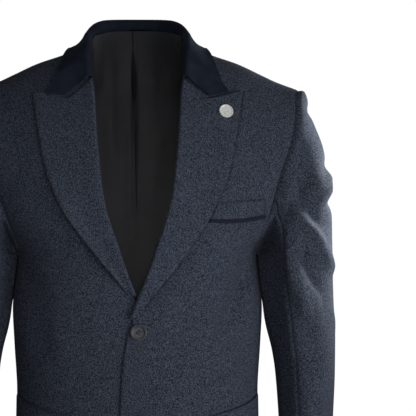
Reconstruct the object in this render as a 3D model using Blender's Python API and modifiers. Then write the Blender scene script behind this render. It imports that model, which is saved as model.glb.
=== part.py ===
"""Single-breasted tweed overcoat with a velvet collar and peak lapels, held open as if it is worn.

Metres, +Z up. The front faces -Y and the wearer's left side is at +X. The origin lies midway
between the two side neck points, where the shoulders carry the coat.
"""

import math

import bmesh
import bpy
from mathutils import Matrix, Vector

# Cloth walls and the gaps between pieces
TWEED = 0.0024
VELVET = 0.0024
LINING = 0.0010
SEAM = 0.0003
REST = 0.0004
STAND_REST = 0.0022
COLLAR_REST = 0.0011
LINING_REST = 0.0050
LAPEL_REST = 0.0009

# Frame of the body: the side seams, the shoulder line, the neck and the armhole
SIDE_Y = 0.005
SQUARE = 2.3
NECK_HALF = 0.0755
NECK_BACK = 0.0215
NECK_SET = 0.060
NECK_SET_HALF = 0.105
FRONT_DROP = 0.245
BACK_DROP = 0.200
ARMPIT_Z = -0.3005
ARMHOLE_MID_Z = -0.1832
ARMHOLE_HALF_Z = 0.1170
ARMHOLE_FRONT = 0.064
ARMHOLE_BACK = 0.066
ARMHOLE_EGG = 0.19
HEM_Z = -0.945

# Shoulder line, on to the neck: distance from centre, height
SHOULDER = (
    (0.000, 0.0345),
    (0.012, 0.0337),
    (0.030, 0.0290),
    (0.050, 0.0190),
    (0.065, 0.0085),
    (0.078, -0.0015),
    (0.090, -0.0085),
    (0.103, -0.0142),
    (0.144, -0.0283),
    (0.176, -0.0432),
    (0.199, -0.0540),
    (0.232, -0.0662),
    (0.310, -0.1000),
)

# Level sections of the body: height, half width, depth in front of the side seam, depth behind it
TORSO = (
    (HEM_Z, 0.204, 0.147, 0.150),
    (-0.720, 0.190, 0.138, 0.142),
    (-0.600, 0.1795, 0.129, 0.128),
    (-0.500, 0.1730, 0.123, 0.112),
    (-0.430, 0.1768, 0.123, 0.110),
    (-0.378, 0.1792, 0.125, 0.112),
    (-0.335, 0.1740, 0.127, 0.115),
    (-0.300, 0.1705, 0.128, 0.118),
    (-0.273, 0.1864, 0.128, 0.120),
    (-0.243, 0.2065, 0.128, 0.122),
    (-0.190, 0.2345, 0.124, 0.124),
    (-0.124, 0.2750, 0.116, 0.122),
    (-0.066, 0.3000, 0.108, 0.118),
    (0.080, 0.3050, 0.100, 0.113),
)

# Front edge of a front panel, which is the roll line above the top button: height, distance from centre
FRONT_EDGE = (
    (HEM_Z, -0.0260),
    (-0.5255, -0.0255),
    (-0.4610, -0.0222),
    (-0.4260, -0.0174),
    (-0.4030, -0.0116),
    (-0.3680, 0.0010),
    (-0.3270, 0.0174),
    (-0.2870, 0.0309),
    (-0.2430, 0.0454),
    (-0.2110, 0.0522),
    (-0.1280, 0.0603),
    (-0.0755, 0.0632),
    (-0.0535, 0.0667),
    (-0.0300, 0.0690),
    (0.0000, 0.0727),
    (0.0800, 0.0727),
)

# Free edge of a lapel: height, distance from centre
LAPEL_EDGE = (
    (-0.3950, -0.0040),
    (-0.3680, 0.0125),
    (-0.3460, 0.0309),
    (-0.3120, 0.0589),
    (-0.2710, 0.0870),
    (-0.2500, 0.1006),
    (-0.2320, 0.1084),
    (-0.1980, 0.1231),
    (-0.1660, 0.1321),
    (-0.1240, 0.1395),
    (-0.0890, 0.1451),
    (-0.0709, 0.1474),
)
LAPEL_TOP_Z = -0.0556
LAPEL_FOOT_LEFT = -0.390
LAPEL_FOOT_RIGHT = -0.358
NOTCH = (0.0968, -0.0822)
ROLL_RADIUS = 0.0039
ROLL_STRIP = 0.0006
LAPEL_EASE = 0.0026

# Collar, from its front end to the middle of the back: share of the way, fold line, free edge in plan
COLLAR = (
    (0.00, 0.0694, -0.0600, -0.0510, 0.1288, -0.0576),
    (0.08, 0.0707, -0.0558, -0.0412, 0.1195, -0.0519),
    (0.16, 0.0715, -0.0477, -0.0280, 0.1148, -0.0451),
    (0.27, 0.0718, -0.0260, -0.0060, 0.1080, -0.0300),
    (0.40, 0.0720, 0.0050, 0.0085, 0.0965, 0.0050),
    (0.52, 0.0688, 0.0280, 0.0165, 0.0890, 0.0310),
    (0.64, 0.0596, 0.0520, 0.0280, 0.0770, 0.0550),
    (0.76, 0.0460, 0.0700, 0.0335, 0.0580, 0.0745),
    (0.88, 0.0240, 0.0830, 0.0352, 0.0300, 0.0890),
    (1.00, 0.0000, 0.0860, 0.0355, 0.0000, 0.0950),
)
# The leaf swells at the back of the neck and is hollow where it falls to the shoulders
COLLAR_CROWN = 0.0020
COLLAR_HOLLOW = 0.0034

# Sleeve rings: distance down the outer line, underarm x and z, outer x and z, middle y, half depth
SLEEVE = (
    (0.000, 0.1706, -0.3002, 0.2320, -0.0662, 0.005, 0.0640),
    (0.008, 0.1710, -0.3010, 0.2395, -0.0674, 0.005, 0.0655),
    (0.018, 0.1714, -0.3020, 0.2440, -0.0760, 0.005, 0.0670),
    (0.046, 0.1719, -0.3045, 0.2505, -0.1040, 0.005, 0.0696),
    (0.095, 0.1725, -0.3090, 0.2680, -0.1520, 0.005, 0.0728),
    (0.159, 0.1734, -0.3180, 0.2785, -0.2150, 0.004, 0.0756),
    (0.203, 0.1746, -0.3280, 0.2800, -0.2590, 0.003, 0.0755),
    (0.254, 0.1768, -0.3450, 0.2805, -0.3100, 0.002, 0.0750),
    (0.320, 0.1830, -0.3840, 0.2820, -0.3760, -0.001, 0.0725),
    (0.356, 0.1875, -0.4120, 0.2840, -0.4120, -0.003, 0.0705),
    (0.414, 0.1970, -0.4680, 0.2832, -0.4700, -0.007, 0.0665),
    (0.480, 0.2020, -0.5360, 0.2800, -0.5360, -0.013, 0.0615),
    (0.544, 0.2050, -0.6000, 0.2765, -0.6000, -0.022, 0.0570),
    (0.636, 0.2060, -0.6920, 0.2725, -0.6920, -0.036, 0.0520),
)
SLEEVE_GAP = 0.0006
HUG_GAP = 0.0010
INNER_FLAT = 0.55
CUFF_FLAT = 0.22
SEAM_FRONT = 112.0
SEAM_BACK = -112.0

# Largest sleeve folds: angle and distance at both ends, half width, height (a trough is negative)
SLEEVE_FOLDS = (
    (14, 0.038, -80, 0.038, 0.009, -0.0040),
    (22, 0.114, -14, 0.122, 0.010, -0.0036),
    (26, 0.134, -30, 0.141, 0.010, 0.0045),
    (16, 0.166, -45, 0.182, 0.012, -0.0065),
    (81, 0.078, 34, 0.212, 0.014, -0.0055),
    (60, 0.196, 22, 0.262, 0.012, 0.0035),
    (84, 0.195, 42, 0.308, 0.014, -0.0045),
    (101, 0.190, 88, 0.325, 0.013, 0.0040),
    (-60, 0.230, -95, 0.330, 0.016, -0.0045),
)

# Largest body folds: front (-1) or back (+1), x and z at both ends, half width, height
BODY_FOLDS = (
    (-1, 0.158, -0.330, 0.136, -0.430, 0.016, -0.0035),
    (-1, 0.060, -0.640, 0.078, -0.945, 0.030, 0.0045),
    (-1, 0.125, -0.640, 0.140, -0.945, 0.028, -0.0050),
    (1, 0.070, -0.620, 0.085, -0.945, 0.032, 0.0050),
    (1, 0.135, -0.620, 0.145, -0.945, 0.028, -0.0050),
)

# Left front over right front, and left back over right back in the vent
OVERLAP_LIFT = 0.0034
OVERLAP_FULL = 0.030
OVERLAP_FADE = 0.095
VENT_Z = -0.630
VENT_WIDTH = 0.036

# Pockets, buttons and pin
WELT_END = 0.1790
WELT_TOP_Z = -0.2290
WELT_RISE = 0.085
WELT_HIGH = 0.0201
WELT_SAG = 0.0033
PIPING_HIGH = 0.0062
PATCH = 0.0018
FLAP_FRONT = (0.092, -0.5290)
FLAP_SIDE = (0.1705, -0.5000)
FLAP_HIGH = 0.058
BUTTON_X = 0.0014
BUTTON_Z = (-0.4087, -0.5387, -0.6687)
BUTTON_RADIUS = 0.0115
BUTTON_THICK = 0.0036
BUTTON_HOLE = 0.0011
BUTTON_HOLE_OUT = 0.0026
PIN_X = 0.1240
PIN_Z = -0.1012
PIN_RADIUS = 0.0102
PIN_THICK = 0.0024

# Where the grids have their rows and columns
LOWER_ROWS = (
    HEM_Z, -0.840, -0.740, -0.665, -0.610, -0.560, -0.515, -0.470, -0.430, -0.395, -0.362, -0.330, ARMPIT_Z,
)
UPPER_ROWS = (
    0.990, 0.950, 0.870, 0.760, 0.640, 0.520, 0.400, 0.290, 0.190, 0.115, 0.065, 0.039, 0.030, 0.020,
    0.010, 0.003, 0.00005, 0.000003,
)
PANEL_COLUMNS = (0.0, 0.005, 0.10, 0.21, 0.34, 0.48, 0.62, 0.76, 0.88, 0.990, 1.0)
SLEEVE_ROWS = (
    0.000, 0.003, 0.010, 0.022, 0.036, 0.050, 0.070, 0.092, 0.108, 0.121, 0.134, 0.147, 0.162, 0.180,
    0.204, 0.234, 0.266, 0.300, 0.340, 0.410, 0.490, 0.560, 0.636,
)
SLEEVE_STRIP = 0.030
UPPER_STEP = 0.20
UNDER_STEP = 0.30
LAPEL_ROWS = (-0.362, -0.330, -0.305, -0.280, -0.255, -0.225, -0.190, -0.155, -0.122, -0.100, -0.083, -0.068)
LAPEL_COLUMNS = (0.10, 0.22, 0.373, 0.55, 0.72, 0.88, 0.985, 1.0)
COLLAR_ROWS = (0.0, 0.02, 0.05, 0.09, 0.14, 0.20, 0.27, 0.35, 0.43, 0.52, 0.61, 0.70, 0.80, 0.90, 1.0)
COLLAR_COLUMNS = (0.16, 0.33, 0.485, 0.66, 0.84, 0.98, 1.0)
LINING_COLUMNS = (0.09, 0.18, 0.25, 0.28, 0.36, 0.52, 0.72, 0.88, 1.0)
PLEAT_COLUMNS = (-0.0085, -0.0052, -0.0025, 0.0002, 0.0035)
PLEAT_X = -0.0025

# Upper edge of the lining inside the neck: half width, depth, height at the middle and at the sides
NECK_INSIDE = (0.0625, 0.0685, 0.0245, 0.0110)


def blank_scene():
    for item in list(bpy.data.objects):
        bpy.data.objects.remove(item)
    for name in ("tweed_overcoat", "cutters"):
        bpy.context.scene.collection.children.link(bpy.data.collections.new(name))


def look(name, colour, roughness, metallic=0.0):
    material = bpy.data.materials.new(name)
    material.use_nodes = True
    shader = material.node_tree.nodes["Principled BSDF"]
    shader.inputs["Base Color"].default_value = (*colour, 1.0)
    shader.inputs["Roughness"].default_value = roughness
    shader.inputs["Metallic"].default_value = metallic
    return material


def along(table, key):
    """The other columns of a table at a value of its first column, on a smooth curve."""
    keys = [row[0] for row in table]
    key = min(max(key, keys[0]), keys[-1])
    i = max(k for k in range(len(keys) - 1) if keys[k] <= key)
    step = keys[i + 1] - keys[i]
    t = (key - keys[i]) / step
    found = []
    for column in range(1, len(table[0])):
        rise = [
            (b[column] - a[column]) / (b[0] - a[0]) for a, b in zip(table[:-1], table[1:])
        ]
        ends = []
        for k in (i, i + 1):
            before = rise[max(k - 1, 0)]
            after = rise[min(k, len(rise) - 1)]
            same = before * after > 0
            ends.append(2 * before * after / (before + after) if same else 0.0)
        a, b = table[i][column], table[i + 1][column]
        found.append(
            a * (1 + 2 * t) * (1 - t) ** 2
            + b * t * t * (3 - 2 * t)
            + step * (ends[0] * t * (1 - t) ** 2 - ends[1] * t * t * (1 - t))
        )
    return found if len(found) > 1 else found[0]


def ease(low, high, value):
    """A soft step from 0 at low to 1 at high."""
    t = min(max((value - low) / (high - low), 0.0), 1.0)
    return t * t * (3 - 2 * t)


def mix(a, b, share):
    return a + (b - a) * share


def root(rule, low, high):
    """Where a rule that is positive at low and falls first reaches nothing."""
    for _ in range(44):
        middle = (low + high) / 2
        if rule(middle) > 0:
            low = middle
        else:
            high = middle
    return (low + high) / 2


def ridge_z(x):
    """Height of the shoulder line at a distance from the centre."""
    return along(SHOULDER, abs(x))


def fullness(x, z, face):
    """How much of its full depth the body has at a height below the shoulder line."""
    drop = FRONT_DROP if face < 0 else BACK_DROP
    fall = min(max((ridge_z(x) - z) / drop, 0.0), 1.0)
    return math.sqrt(1 - (1 - fall) ** 2)


def depth(x, z, face):
    """How far the body's outer face lies in front of the shoulder line (-1) or behind it (1)."""
    half_width, front, back = along(TORSO, z)
    level = max(0.0, 1 - (abs(x) / half_width) ** SQUARE) ** (1 / SQUARE)
    return (front if face < 0 else back) * level * fullness(x, z, face)


def ridge_y(x):
    """The shoulder line runs back behind the neck."""
    return SIDE_Y + NECK_SET * max(0.0, 1 - (x / NECK_SET_HALF) ** 2) ** 2


def skin(x, z, face):
    """A point of the body's outer face."""
    set_back = (ridge_y(x) - SIDE_Y) * (1 - fullness(x, z, face))
    return Vector((x, SIDE_Y + set_back + face * depth(x, z, face), z))


def outward(x, z, face):
    """Unit vector square to the body's outer face."""
    step = 0.0004
    across = skin(x + step, z, face) - skin(x - step, z, face)
    up = skin(x, z + step, face) - skin(x, z - step, face)
    return (across.cross(up) * -face).normalized()


def crease(rows, x, y, scale=1.0):
    """Height of soft folds laid along straight lines, at a place beside them."""
    total = 0.0
    for x0, y0, x1, y1, width, height in rows:
        along_x, along_y = (x1 - x0) * scale, y1 - y0
        off_x, off_y = (x - x0) * scale, y - y0
        t = (off_x * along_x + off_y * along_y) / (along_x**2 + along_y**2)
        t = min(max(t, 0.0), 1.0)
        gap = math.hypot(off_x - t * along_x, off_y - t * along_y)
        total += height * math.exp(-((gap / width) ** 2))
    return total


def body_fold(x, z, face):
    """Fold height on the body, which dies out at the side seam and the armhole."""
    rows = [row[1:] for row in BODY_FOLDS if row[0] == face]
    edge = along(TORSO, z)[0] - abs(x)
    return crease(rows, abs(x), z) * ease(0.003, 0.024, edge)


def overlap(x, z, face, side):
    """How far the left piece stands out to clear the right piece under it."""
    if side < 0:
        return 0.0
    if face < 0:
        return OVERLAP_LIFT * ease(-0.315, -0.358, z) * ease(OVERLAP_FADE, OVERLAP_FULL, x)
    return OVERLAP_LIFT * ease(VENT_Z + 0.075, VENT_Z + 0.02, z) * ease(OVERLAP_FADE, OVERLAP_FULL, x)


def cloth(x, z, face, side, out=0.0):
    """A point of a panel's outer face, or that far out from it; x counts towards the panel's side."""
    rise = out + body_fold(x, z, face) + overlap(x, z, face, side)
    point = skin(x, z, face) + outward(x, z, face) * rise
    return Vector((side * point.x, point.y, point.z))


def armhole_reach(z, face):
    """Half depth of the armhole at a height, in front of the side seam or behind it."""
    level = (z - ARMHOLE_MID_Z) / ARMHOLE_HALF_Z
    if abs(level) >= 1:
        return 0.0
    half = ARMHOLE_FRONT if face < 0 else ARMHOLE_BACK
    return half * (1 - level**2) ** 0.425 * (1 - ARMHOLE_EGG * level)


def row_z(row, x, top=ridge_z):
    share, level = row
    return share * top(x) + (1 - share) * level


def row_end(row, face):
    """Where a row of a panel meets the armhole or the side seam."""

    def room(x):
        z = row_z(row, x)
        return depth(x, z, face) - armhole_reach(z, face) - SEAM / 2

    return root(room, 0.05, 0.31)


def front_start(row):
    """Where a row of a front panel meets its free edge or its roll line."""

    def room(x):
        z = row_z(row, x)
        gap = 2 * SEAM + ROLL_STRIP + 0.0016 * ease(LAPEL_TOP_Z - 0.020, LAPEL_TOP_Z + 0.006, z)
        return along(FRONT_EDGE, z) + gap - x

    return root(room, -0.05, 0.12)


def neck_z(x):
    """Height of the back neckline."""
    return mix(NECK_BACK, ridge_z(NECK_HALF), (x / NECK_HALF) ** 2)


def back_start(row, side):
    """Where a row of a back panel meets the neckline, the centre seam or the edge of the vent."""
    if row_z(row, 0.0) > neck_z(0.0):
        return root(lambda x: row_z(row, x) - neck_z(x), 0.0, NECK_HALF + 0.001)
    under = side > 0 and row[0] == 0 and row[1] < VENT_Z
    return -VENT_WIDTH if under else 1.4 * SEAM


def spaced(first, last, shares, half_width):
    """Distances from the centre, evenly spread round the section between two of them."""
    half_width = max(half_width, last)
    turn = [
        math.copysign(math.asin((abs(x) / half_width) ** (SQUARE / 2)), x) for x in (first, last)
    ]
    found = []
    for share in shares:
        sine = math.sin(mix(turn[0], turn[1], share))
        found.append(math.copysign(half_width * abs(sine) ** (2 / SQUARE), sine))
    found[0], found[-1] = first, last
    return found


def sheet(name, grid, thick, material, flip=False):
    """A cloth wall on a grid of points of its outer face."""
    mesh = bpy.data.meshes.new(name)
    build = bmesh.new()
    points = [[build.verts.new(p) for p in row] for row in grid]
    for low, high in zip(points[:-1], points[1:]):
        for k in range(len(low) - 1):
            corners = [low[k], low[k + 1], high[k + 1], high[k]]
            face = build.faces.new(corners[::-1] if flip else corners)
            face.smooth = True
    build.to_mesh(mesh)
    build.free()
    piece = add(name, mesh, material)
    wall = piece.modifiers.new("wall", "SOLIDIFY")
    wall.thickness = thick
    wall.offset = -1.0
    wall.use_quality_normals = True
    return piece


def add(name, mesh, material):
    piece = bpy.data.objects.new(name, mesh)
    mesh.materials.clear()
    mesh.materials.append(material)
    bpy.data.collections["tweed_overcoat"].objects.link(piece)
    return piece


ROWS = [(0.0, z) for z in LOWER_ROWS] + [(1 - share, ARMPIT_Z) for share in UPPER_ROWS]


def panel(name, face, side, material):
    """A front or a back of the coat."""
    grid = []
    for row in ROWS:
        first = front_start(row) if face < 0 else back_start(row, side)
        last = row_end(row, face)
        width = along(TORSO, row_z(row, last))[0]
        places = spaced(first, last, PANEL_COLUMNS, width)
        grid.append([cloth(x, row_z(row, x), face, side) for x in places])
    return sheet(name, grid, TWEED, material, flip=face * side > 0)


def armhole(angle):
    """A point of the left armhole seam; angle 0 is the shoulder and 90 degrees the front."""
    z = ARMHOLE_MID_Z + ARMHOLE_HALF_Z * math.cos(angle)
    face = -1 if math.sin(angle) >= 0 else 1
    reach = armhole_reach(z, face)
    x = root(lambda x: depth(x, z, face) - reach, 0.05, 0.31)
    return Vector((x, SIDE_Y + face * reach, z))


def ring(angle, key):
    """A point of the left sleeve before its folds; it turns at the front seam and is flatter inside it."""
    in_x, in_z, out_x, out_z, mid_y, half = along(SLEEVE, key)
    lean = (1 + math.cos(angle)) / 2
    inside = min(max((math.degrees(angle) % 360 - SEAM_FRONT) / (180 - SEAM_FRONT), 0.0), 1.0)
    flat = mix(INNER_FLAT, CUFF_FLAT, ease(0.30, 0.42, key))
    deep = half * math.sin(angle) * (1 - flat * math.sin(math.pi * inside) ** 2)
    return Vector((mix(in_x, out_x, lean), mid_y - deep, mix(in_z, out_z, lean)))


def sleeve_skin(angle, key):
    """A point of the left sleeve, joined to the armhole and lying close along the body's side."""
    joined = 1 - ease(0.0, 0.060, key)
    point = ring(angle, key) + (armhole(angle) - ring(angle, 0.0)) * joined
    turn = math.degrees(angle) % 360
    hug = ease(122, 158, turn) * ease(262, 220, turn) * ease(0.0, 0.05, key) * ease(0.385, 0.285, key)
    hug *= ease(ARMPIT_Z + 0.010, ARMPIT_Z - 0.016, point.z)
    side_x = along(TORSO, min(point.z, ARMPIT_Z))[0]
    point.x = mix(point.x, side_x + HUG_GAP, hug)
    return point


def sleeve_point(angle, key, side):
    """A point of a sleeve's outer face."""
    step = 0.02
    round_it = sleeve_skin(angle + step, key) - sleeve_skin(angle - step, key)
    low = max(key - 0.002, 0.0)
    down = sleeve_skin(angle, low + 0.004) - sleeve_skin(angle, low)
    out = round_it.cross(down).normalized()
    degrees = (math.degrees(angle) + 180) % 360 - 180
    rise = crease(SLEEVE_FOLDS, degrees, key, 0.001) * ease(0.002, 0.030, key)
    point = sleeve_skin(angle, key) + out * rise
    return Vector((side * (point.x + SLEEVE_GAP), point.y, point.z))


def armhole_angles(step):
    """Angles round the armhole at which the rows of the front and the back panels end."""
    found = [math.pi]
    for face in (-1, 1):
        last = None
        for row in ROWS[len(LOWER_ROWS):]:
            level = (row_z(row, row_end(row, face)) - ARMHOLE_MID_Z) / ARMHOLE_HALF_Z
            angle = math.acos(min(max(level, -1.0), 1.0))
            if (last is None or last - angle > step) and angle > 0.05:
                found.append(angle if face < 0 else 2 * math.pi - angle)
                last = angle
    return sorted(found + [2 * math.pi])


def sleeve(name, first, last, step, side, material):
    """One of the two pieces of a sleeve, between two seams given as angles."""
    gap = SEAM / 2 / 0.030
    first, last = first + gap, last - gap
    turns = [a + 2 * math.pi * k for k in (-1, 0) for a in armhole_angles(step)]
    inside = [a for a in turns if first + 2 * SLEEVE_STRIP < a < last - 2 * SLEEVE_STRIP]
    columns = [first, first + SLEEVE_STRIP] + inside + [last - SLEEVE_STRIP, last]
    grid = [[sleeve_point(angle, key, side) for angle in columns] for key in SLEEVE_ROWS]
    return sheet(name, grid, TWEED, material, flip=side < 0)


def lapel_height(share):
    """How far a lapel's outer face stands off the front, from the roll line to the free edge."""
    return TWEED + LAPEL_REST + LAPEL_EASE * (1 - share) ** 2


def lapel_place(across, up, foot):
    """Distance from the centre and height of a place on a lapel."""
    roll_z = mix(foot, LAPEL_TOP_Z, up)
    edge_z = mix(foot, LAPEL_EDGE[-1][0], up)
    roll_x = along(FRONT_EDGE, roll_z)
    edge_x = along(LAPEL_EDGE, edge_z)
    narrow = 0.35 + 0.65 * ease(0.0, 0.12, up)
    edge_x = mix(roll_x, edge_x, narrow if foot > LAPEL_FOOT_LEFT else 1.0)
    top_x = along(FRONT_EDGE, LAPEL_TOP_Z)
    notch = (NOTCH[0] - top_x) / (LAPEL_EDGE[-1][1] - top_x)
    dip = NOTCH[1] - SEAM - mix(LAPEL_TOP_Z, LAPEL_EDGE[-1][0], notch)
    share = across / notch if across < notch else (1 - across) / (1 - notch)
    return mix(roll_x, edge_x, across), mix(roll_z, edge_z, across) + dip * share * ease(0.55, 1, up)


def lapel(name, side, foot, material):
    """A lapel turned back over its front at the roll line."""
    grid = []
    heights = [foot] + [z for z in LAPEL_ROWS if z > foot + 0.004] + [LAPEL_TOP_Z]
    for up in [(z - foot) / (LAPEL_TOP_Z - foot) for z in heights]:
        x, z = lapel_place(0.0, up, foot)
        edge = cloth(x, z, -1, side)
        out = (cloth(x, z, -1, side, 0.001) - edge).normalized()
        next_x, next_z = lapel_place(0.06, up, foot)
        away = cloth(next_x, next_z, -1, side) - edge
        away = (away - out * away.dot(out)).normalized()
        middle = edge + out * (ROLL_RADIUS - TWEED)
        row = [middle - out * ROLL_RADIUS + away * ROLL_STRIP]
        for step in range(6):
            turn = math.pi * step / 5
            row.append(middle - (out * math.cos(turn) + away * math.sin(turn)) * ROLL_RADIUS)
        for share in LAPEL_COLUMNS:
            x, z = lapel_place(share, up, foot)
            row.append(cloth(x, z, -1, side, lapel_height(share)))
        grid.append(row)
    return sheet(name, grid, TWEED, material, flip=side < 0)


def top_z(x, y):
    """Height of the shoulders' outer face over a place in plan."""
    face = -1 if y < ridge_y(x) else 1
    top = ridge_z(x)
    return top - root(lambda fall: (y - skin(x, top - fall, face).y) * face, 0.0, 0.19)


def clearance(point):
    """Distance of a point near the shoulders from their outer face, and the way out of it."""
    face = -1 if point.y < ridge_y(point.x) else 1
    z = top_z(point.x, point.y)
    out = outward(abs(point.x), z, face)
    out.x = math.copysign(out.x, out.x * point.x)
    if out.z > 0.5:
        return (point.z - z) * out.z, out
    y = skin(point.x, point.z, face).y
    out = outward(abs(point.x), point.z, face)
    out.x = math.copysign(out.x, out.x * point.x)
    return (point.y - y) * out.y, out


def clear_of_body(point, gap):
    for _ in range(3):
        found, out = clearance(point)
        if found < gap:
            point = point + out * (gap - found)
    return point


def collar_lines(key):
    """Fold line and free edge of the collar; keys above 1 are on the wearer's right."""
    near = min(key, 2 - key)
    side = 1 if key <= 1 else -1
    fold_x, fold_y, fold_z, edge_x, edge_y = along(COLLAR, near)
    edge = Vector((edge_x, edge_y, top_z(edge_x, edge_y)))
    fold = Vector((fold_x * side, fold_y, fold_z))
    edge.x *= side
    return fold, edge


def collar_row(key):
    """A section of the collar, from the neck seam over the fold line to the free edge."""
    fold, edge = collar_lines(key)
    before, after = max(key - 0.01, 0.0), min(key + 0.01, 2.0)
    run = (collar_lines(after)[0] - collar_lines(before)[0]).normalized()
    leaf = edge - fold
    leaf = (leaf - run * leaf.dot(run)).normalized()
    out = run.cross(-leaf).normalized()
    near = min(key, 2 - key)
    inner = fold - out * ROLL_RADIUS
    down = Vector((0, 0, -1)) + run * run.z
    down = (leaf + down.normalized()).normalized()

    def room(s):
        foot = inner + down * s
        return min(clearance(foot)[0], clearance(foot + out * VELVET)[0]) - STAND_REST

    longest = mix(0.003, 0.030, ease(0.25, 0.55, near))
    stand = root(room, 0.0, longest) if room(0.001) > 0 else 0.001
    row = [inner + down * max(stand, 0.001)]
    for step in range(6):
        turn = math.pi * step / 5
        row.append(fold - (out * math.cos(turn) + leaf * math.sin(turn)) * ROLL_RADIUS)
    end = clear_of_body(edge, VELVET + COLLAR_REST)
    dip = NOTCH[1] - mix(row[-1].z, end.z, 0.485)
    bow = COLLAR_CROWN * ease(0.55, 0.80, near) - COLLAR_HOLLOW * ease(0.18, 0.36, near) * ease(0.66, 0.50, near)
    start = row[-1]
    for share in COLLAR_COLUMNS:
        point = start.lerp(end, share) + out * (bow * math.sin(math.pi * share))
        part = share / 0.485 if share < 0.485 else (1 - share) / 0.515
        point.z += dip * max(part, 0.0) * (1 - ease(0.0, 0.17, near))
        row.append(clear_of_body(point, VELVET + COLLAR_REST))
    return row


def collar(material):
    keys = COLLAR_ROWS + tuple(2 - key for key in COLLAR_ROWS[-2::-1])
    return sheet("collar", [collar_row(key) for key in keys], VELVET, material, flip=True)


def lining_top(x):
    """Height of the lining's upper edge, below the neckline and the shoulder line."""
    return ridge_z(x) - 0.012 - 0.022 * ease(0.060, 0.085, abs(x))


def lining_slack(x, z):
    """How far the lining hangs in from the back, with a pleat down the middle."""
    slack = 0.010 * ease(0.012, -0.060, z) * ease(0.110, 0.015, abs(x + 0.0025))
    width = mix(0.0018, 0.0036, ease(-0.150, -0.050, z))
    pleat = 0.85 * ease(-0.300, -0.220, z) * math.exp(-(((x - PLEAT_X) / width) ** 2))
    return slack * (1 - pleat)


def neck_inside(x):
    """Upper edge of the lining against the inside of the collar."""
    half, deep, high, low = NECK_INSIDE
    part = min(abs(x) / half, 1.0)
    return Vector((x, SIDE_Y + deep * (1 - part**SQUARE) ** (1 / SQUARE), mix(high, low, part**2)))


def lining(material):
    rows = [(0.0, z) for z in (HEM_Z + 0.028, -0.780, -0.640, -0.520, -0.420, -0.340, ARMPIT_Z)]
    rows += [(1 - share, ARMPIT_Z) for share in (0.86, 0.70, 0.54, 0.40, 0.28, 0.18, 0.09, 0.035, 0.0)]
    grid = []
    for row in rows:
        low = (row[0] if row[0] < 0.97 else 0.97, row[1])
        reach = row_end(low, 1) - 0.009
        places = [-reach * share for share in LINING_COLUMNS[::-1]]
        places += list(PLEAT_COLUMNS) + [reach * share for share in LINING_COLUMNS]
        line = []
        for x in places:
            z = row_z(row, x, lining_top)
            inside = TWEED + LINING_REST + lining_slack(x, z)
            point = cloth(abs(x), z, 1, 1, -inside)
            point.x = math.copysign(point.x, x)
            at_neck = ease(0.80, 1.0, row[0]) * ease(NECK_INSIDE[0] + 0.014, NECK_INSIDE[0], abs(x))
            line.append(point.lerp(neck_inside(x), at_neck))
        grid.append(line)
    return sheet("lining_back", grid, LINING, material)


def patch(name, across, down, place, side, material, thick=PATCH):
    """A piece that lies on a front, from its share across and down to the place on the front."""
    grid = []
    for low in reversed(down):
        places = [place(share, low) for share in across]
        grid.append([cloth(x, z, -1, side, 2 * REST + thick) for x, z in places])
    return sheet(name, grid, thick, material, flip=side < 0)


def welt_line(x):
    """Height of the welt's slanted upper edge."""
    return WELT_TOP_Z + WELT_RISE * (x - WELT_END + 0.06) * 0.9


def welt_place(share, low):
    """The welt's lower edge sags in the middle."""
    first = along(LAPEL_EDGE, WELT_TOP_Z - WELT_HIGH * low) + 0.0012
    x = mix(first, WELT_END, share)
    return x, welt_line(x) - (WELT_HIGH + WELT_SAG * math.sin(math.pi * share)) * low


def piping_place(share, low):
    fall = WELT_HIGH + SEAM + PIPING_HIGH * low
    first = along(LAPEL_EDGE, WELT_TOP_Z - fall) + 0.0012
    x = mix(first, WELT_END, share)
    return x, welt_line(x) - fall - WELT_SAG * math.sin(math.pi * share)


def flap_place(share, low):
    """A flap slants up towards the side seam and has rounded lower corners."""
    x = mix(FLAP_FRONT[0], FLAP_SIDE[0], math.sin(share * math.pi / 2) ** 0.85)
    top = mix(FLAP_FRONT[1], FLAP_SIDE[1], share)
    corner = max(0.0, abs(share - 0.5) * 2 - 0.80) / 0.20
    return x, top - (FLAP_HIGH - 0.010 * corner**2) * low


def turned(name, profile, steps, material):
    """A piece turned about its own Z axis from a profile of radius and height, top to bottom."""
    mesh = bpy.data.meshes.new(name)
    links = [(k, k + 1) for k in range(len(profile) - 1)]
    mesh.from_pydata([(radius, 0.0, height) for radius, height in profile], links, [])
    piece = add(name, mesh, material)
    lathe = piece.modifiers.new("lathe", "SCREW")
    lathe.axis = "Z"
    lathe.angle = 2 * math.pi
    lathe.steps = steps
    lathe.render_steps = steps
    lathe.use_merge_vertices = True
    lathe.merge_threshold = 0.00001
    lathe.use_smooth_shade = True
    return piece


def seated(piece, x, z, out):
    """Puts a piece on the left front, square to it and that far out."""
    foot = cloth(x, z, -1, 1, out)
    up = (cloth(x, z, -1, 1, out + 0.001) - foot).normalized()
    side = Vector((0, 0, 1)).cross(up).normalized()
    turn = Matrix((side, up.cross(side), up)).transposed().to_4x4()
    piece.matrix_world = Matrix.Translation(foot) @ turn


def drills(button):
    """Four drills through a button, as one cutter that moves with it."""
    mesh = bpy.data.meshes.new(f"drills_{button.name}")
    build = bmesh.new()
    for number in range(4):
        turn = Matrix.Rotation(math.radians(90 * number), 4, "Z")
        bmesh.ops.create_cone(
            build, cap_ends=True, segments=6, radius1=BUTTON_HOLE, radius2=BUTTON_HOLE, depth=0.02,
            matrix=turn @ Matrix.Translation((BUTTON_HOLE_OUT, 0.0, 0.0)),
        )
    build.to_mesh(mesh)
    build.free()
    cutter = bpy.data.objects.new(mesh.name, mesh)
    cutter.hide_render = True
    cutter.display_type = "WIRE"
    cutter.parent = button
    bpy.data.collections["cutters"].objects.link(cutter)
    return cutter


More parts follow.
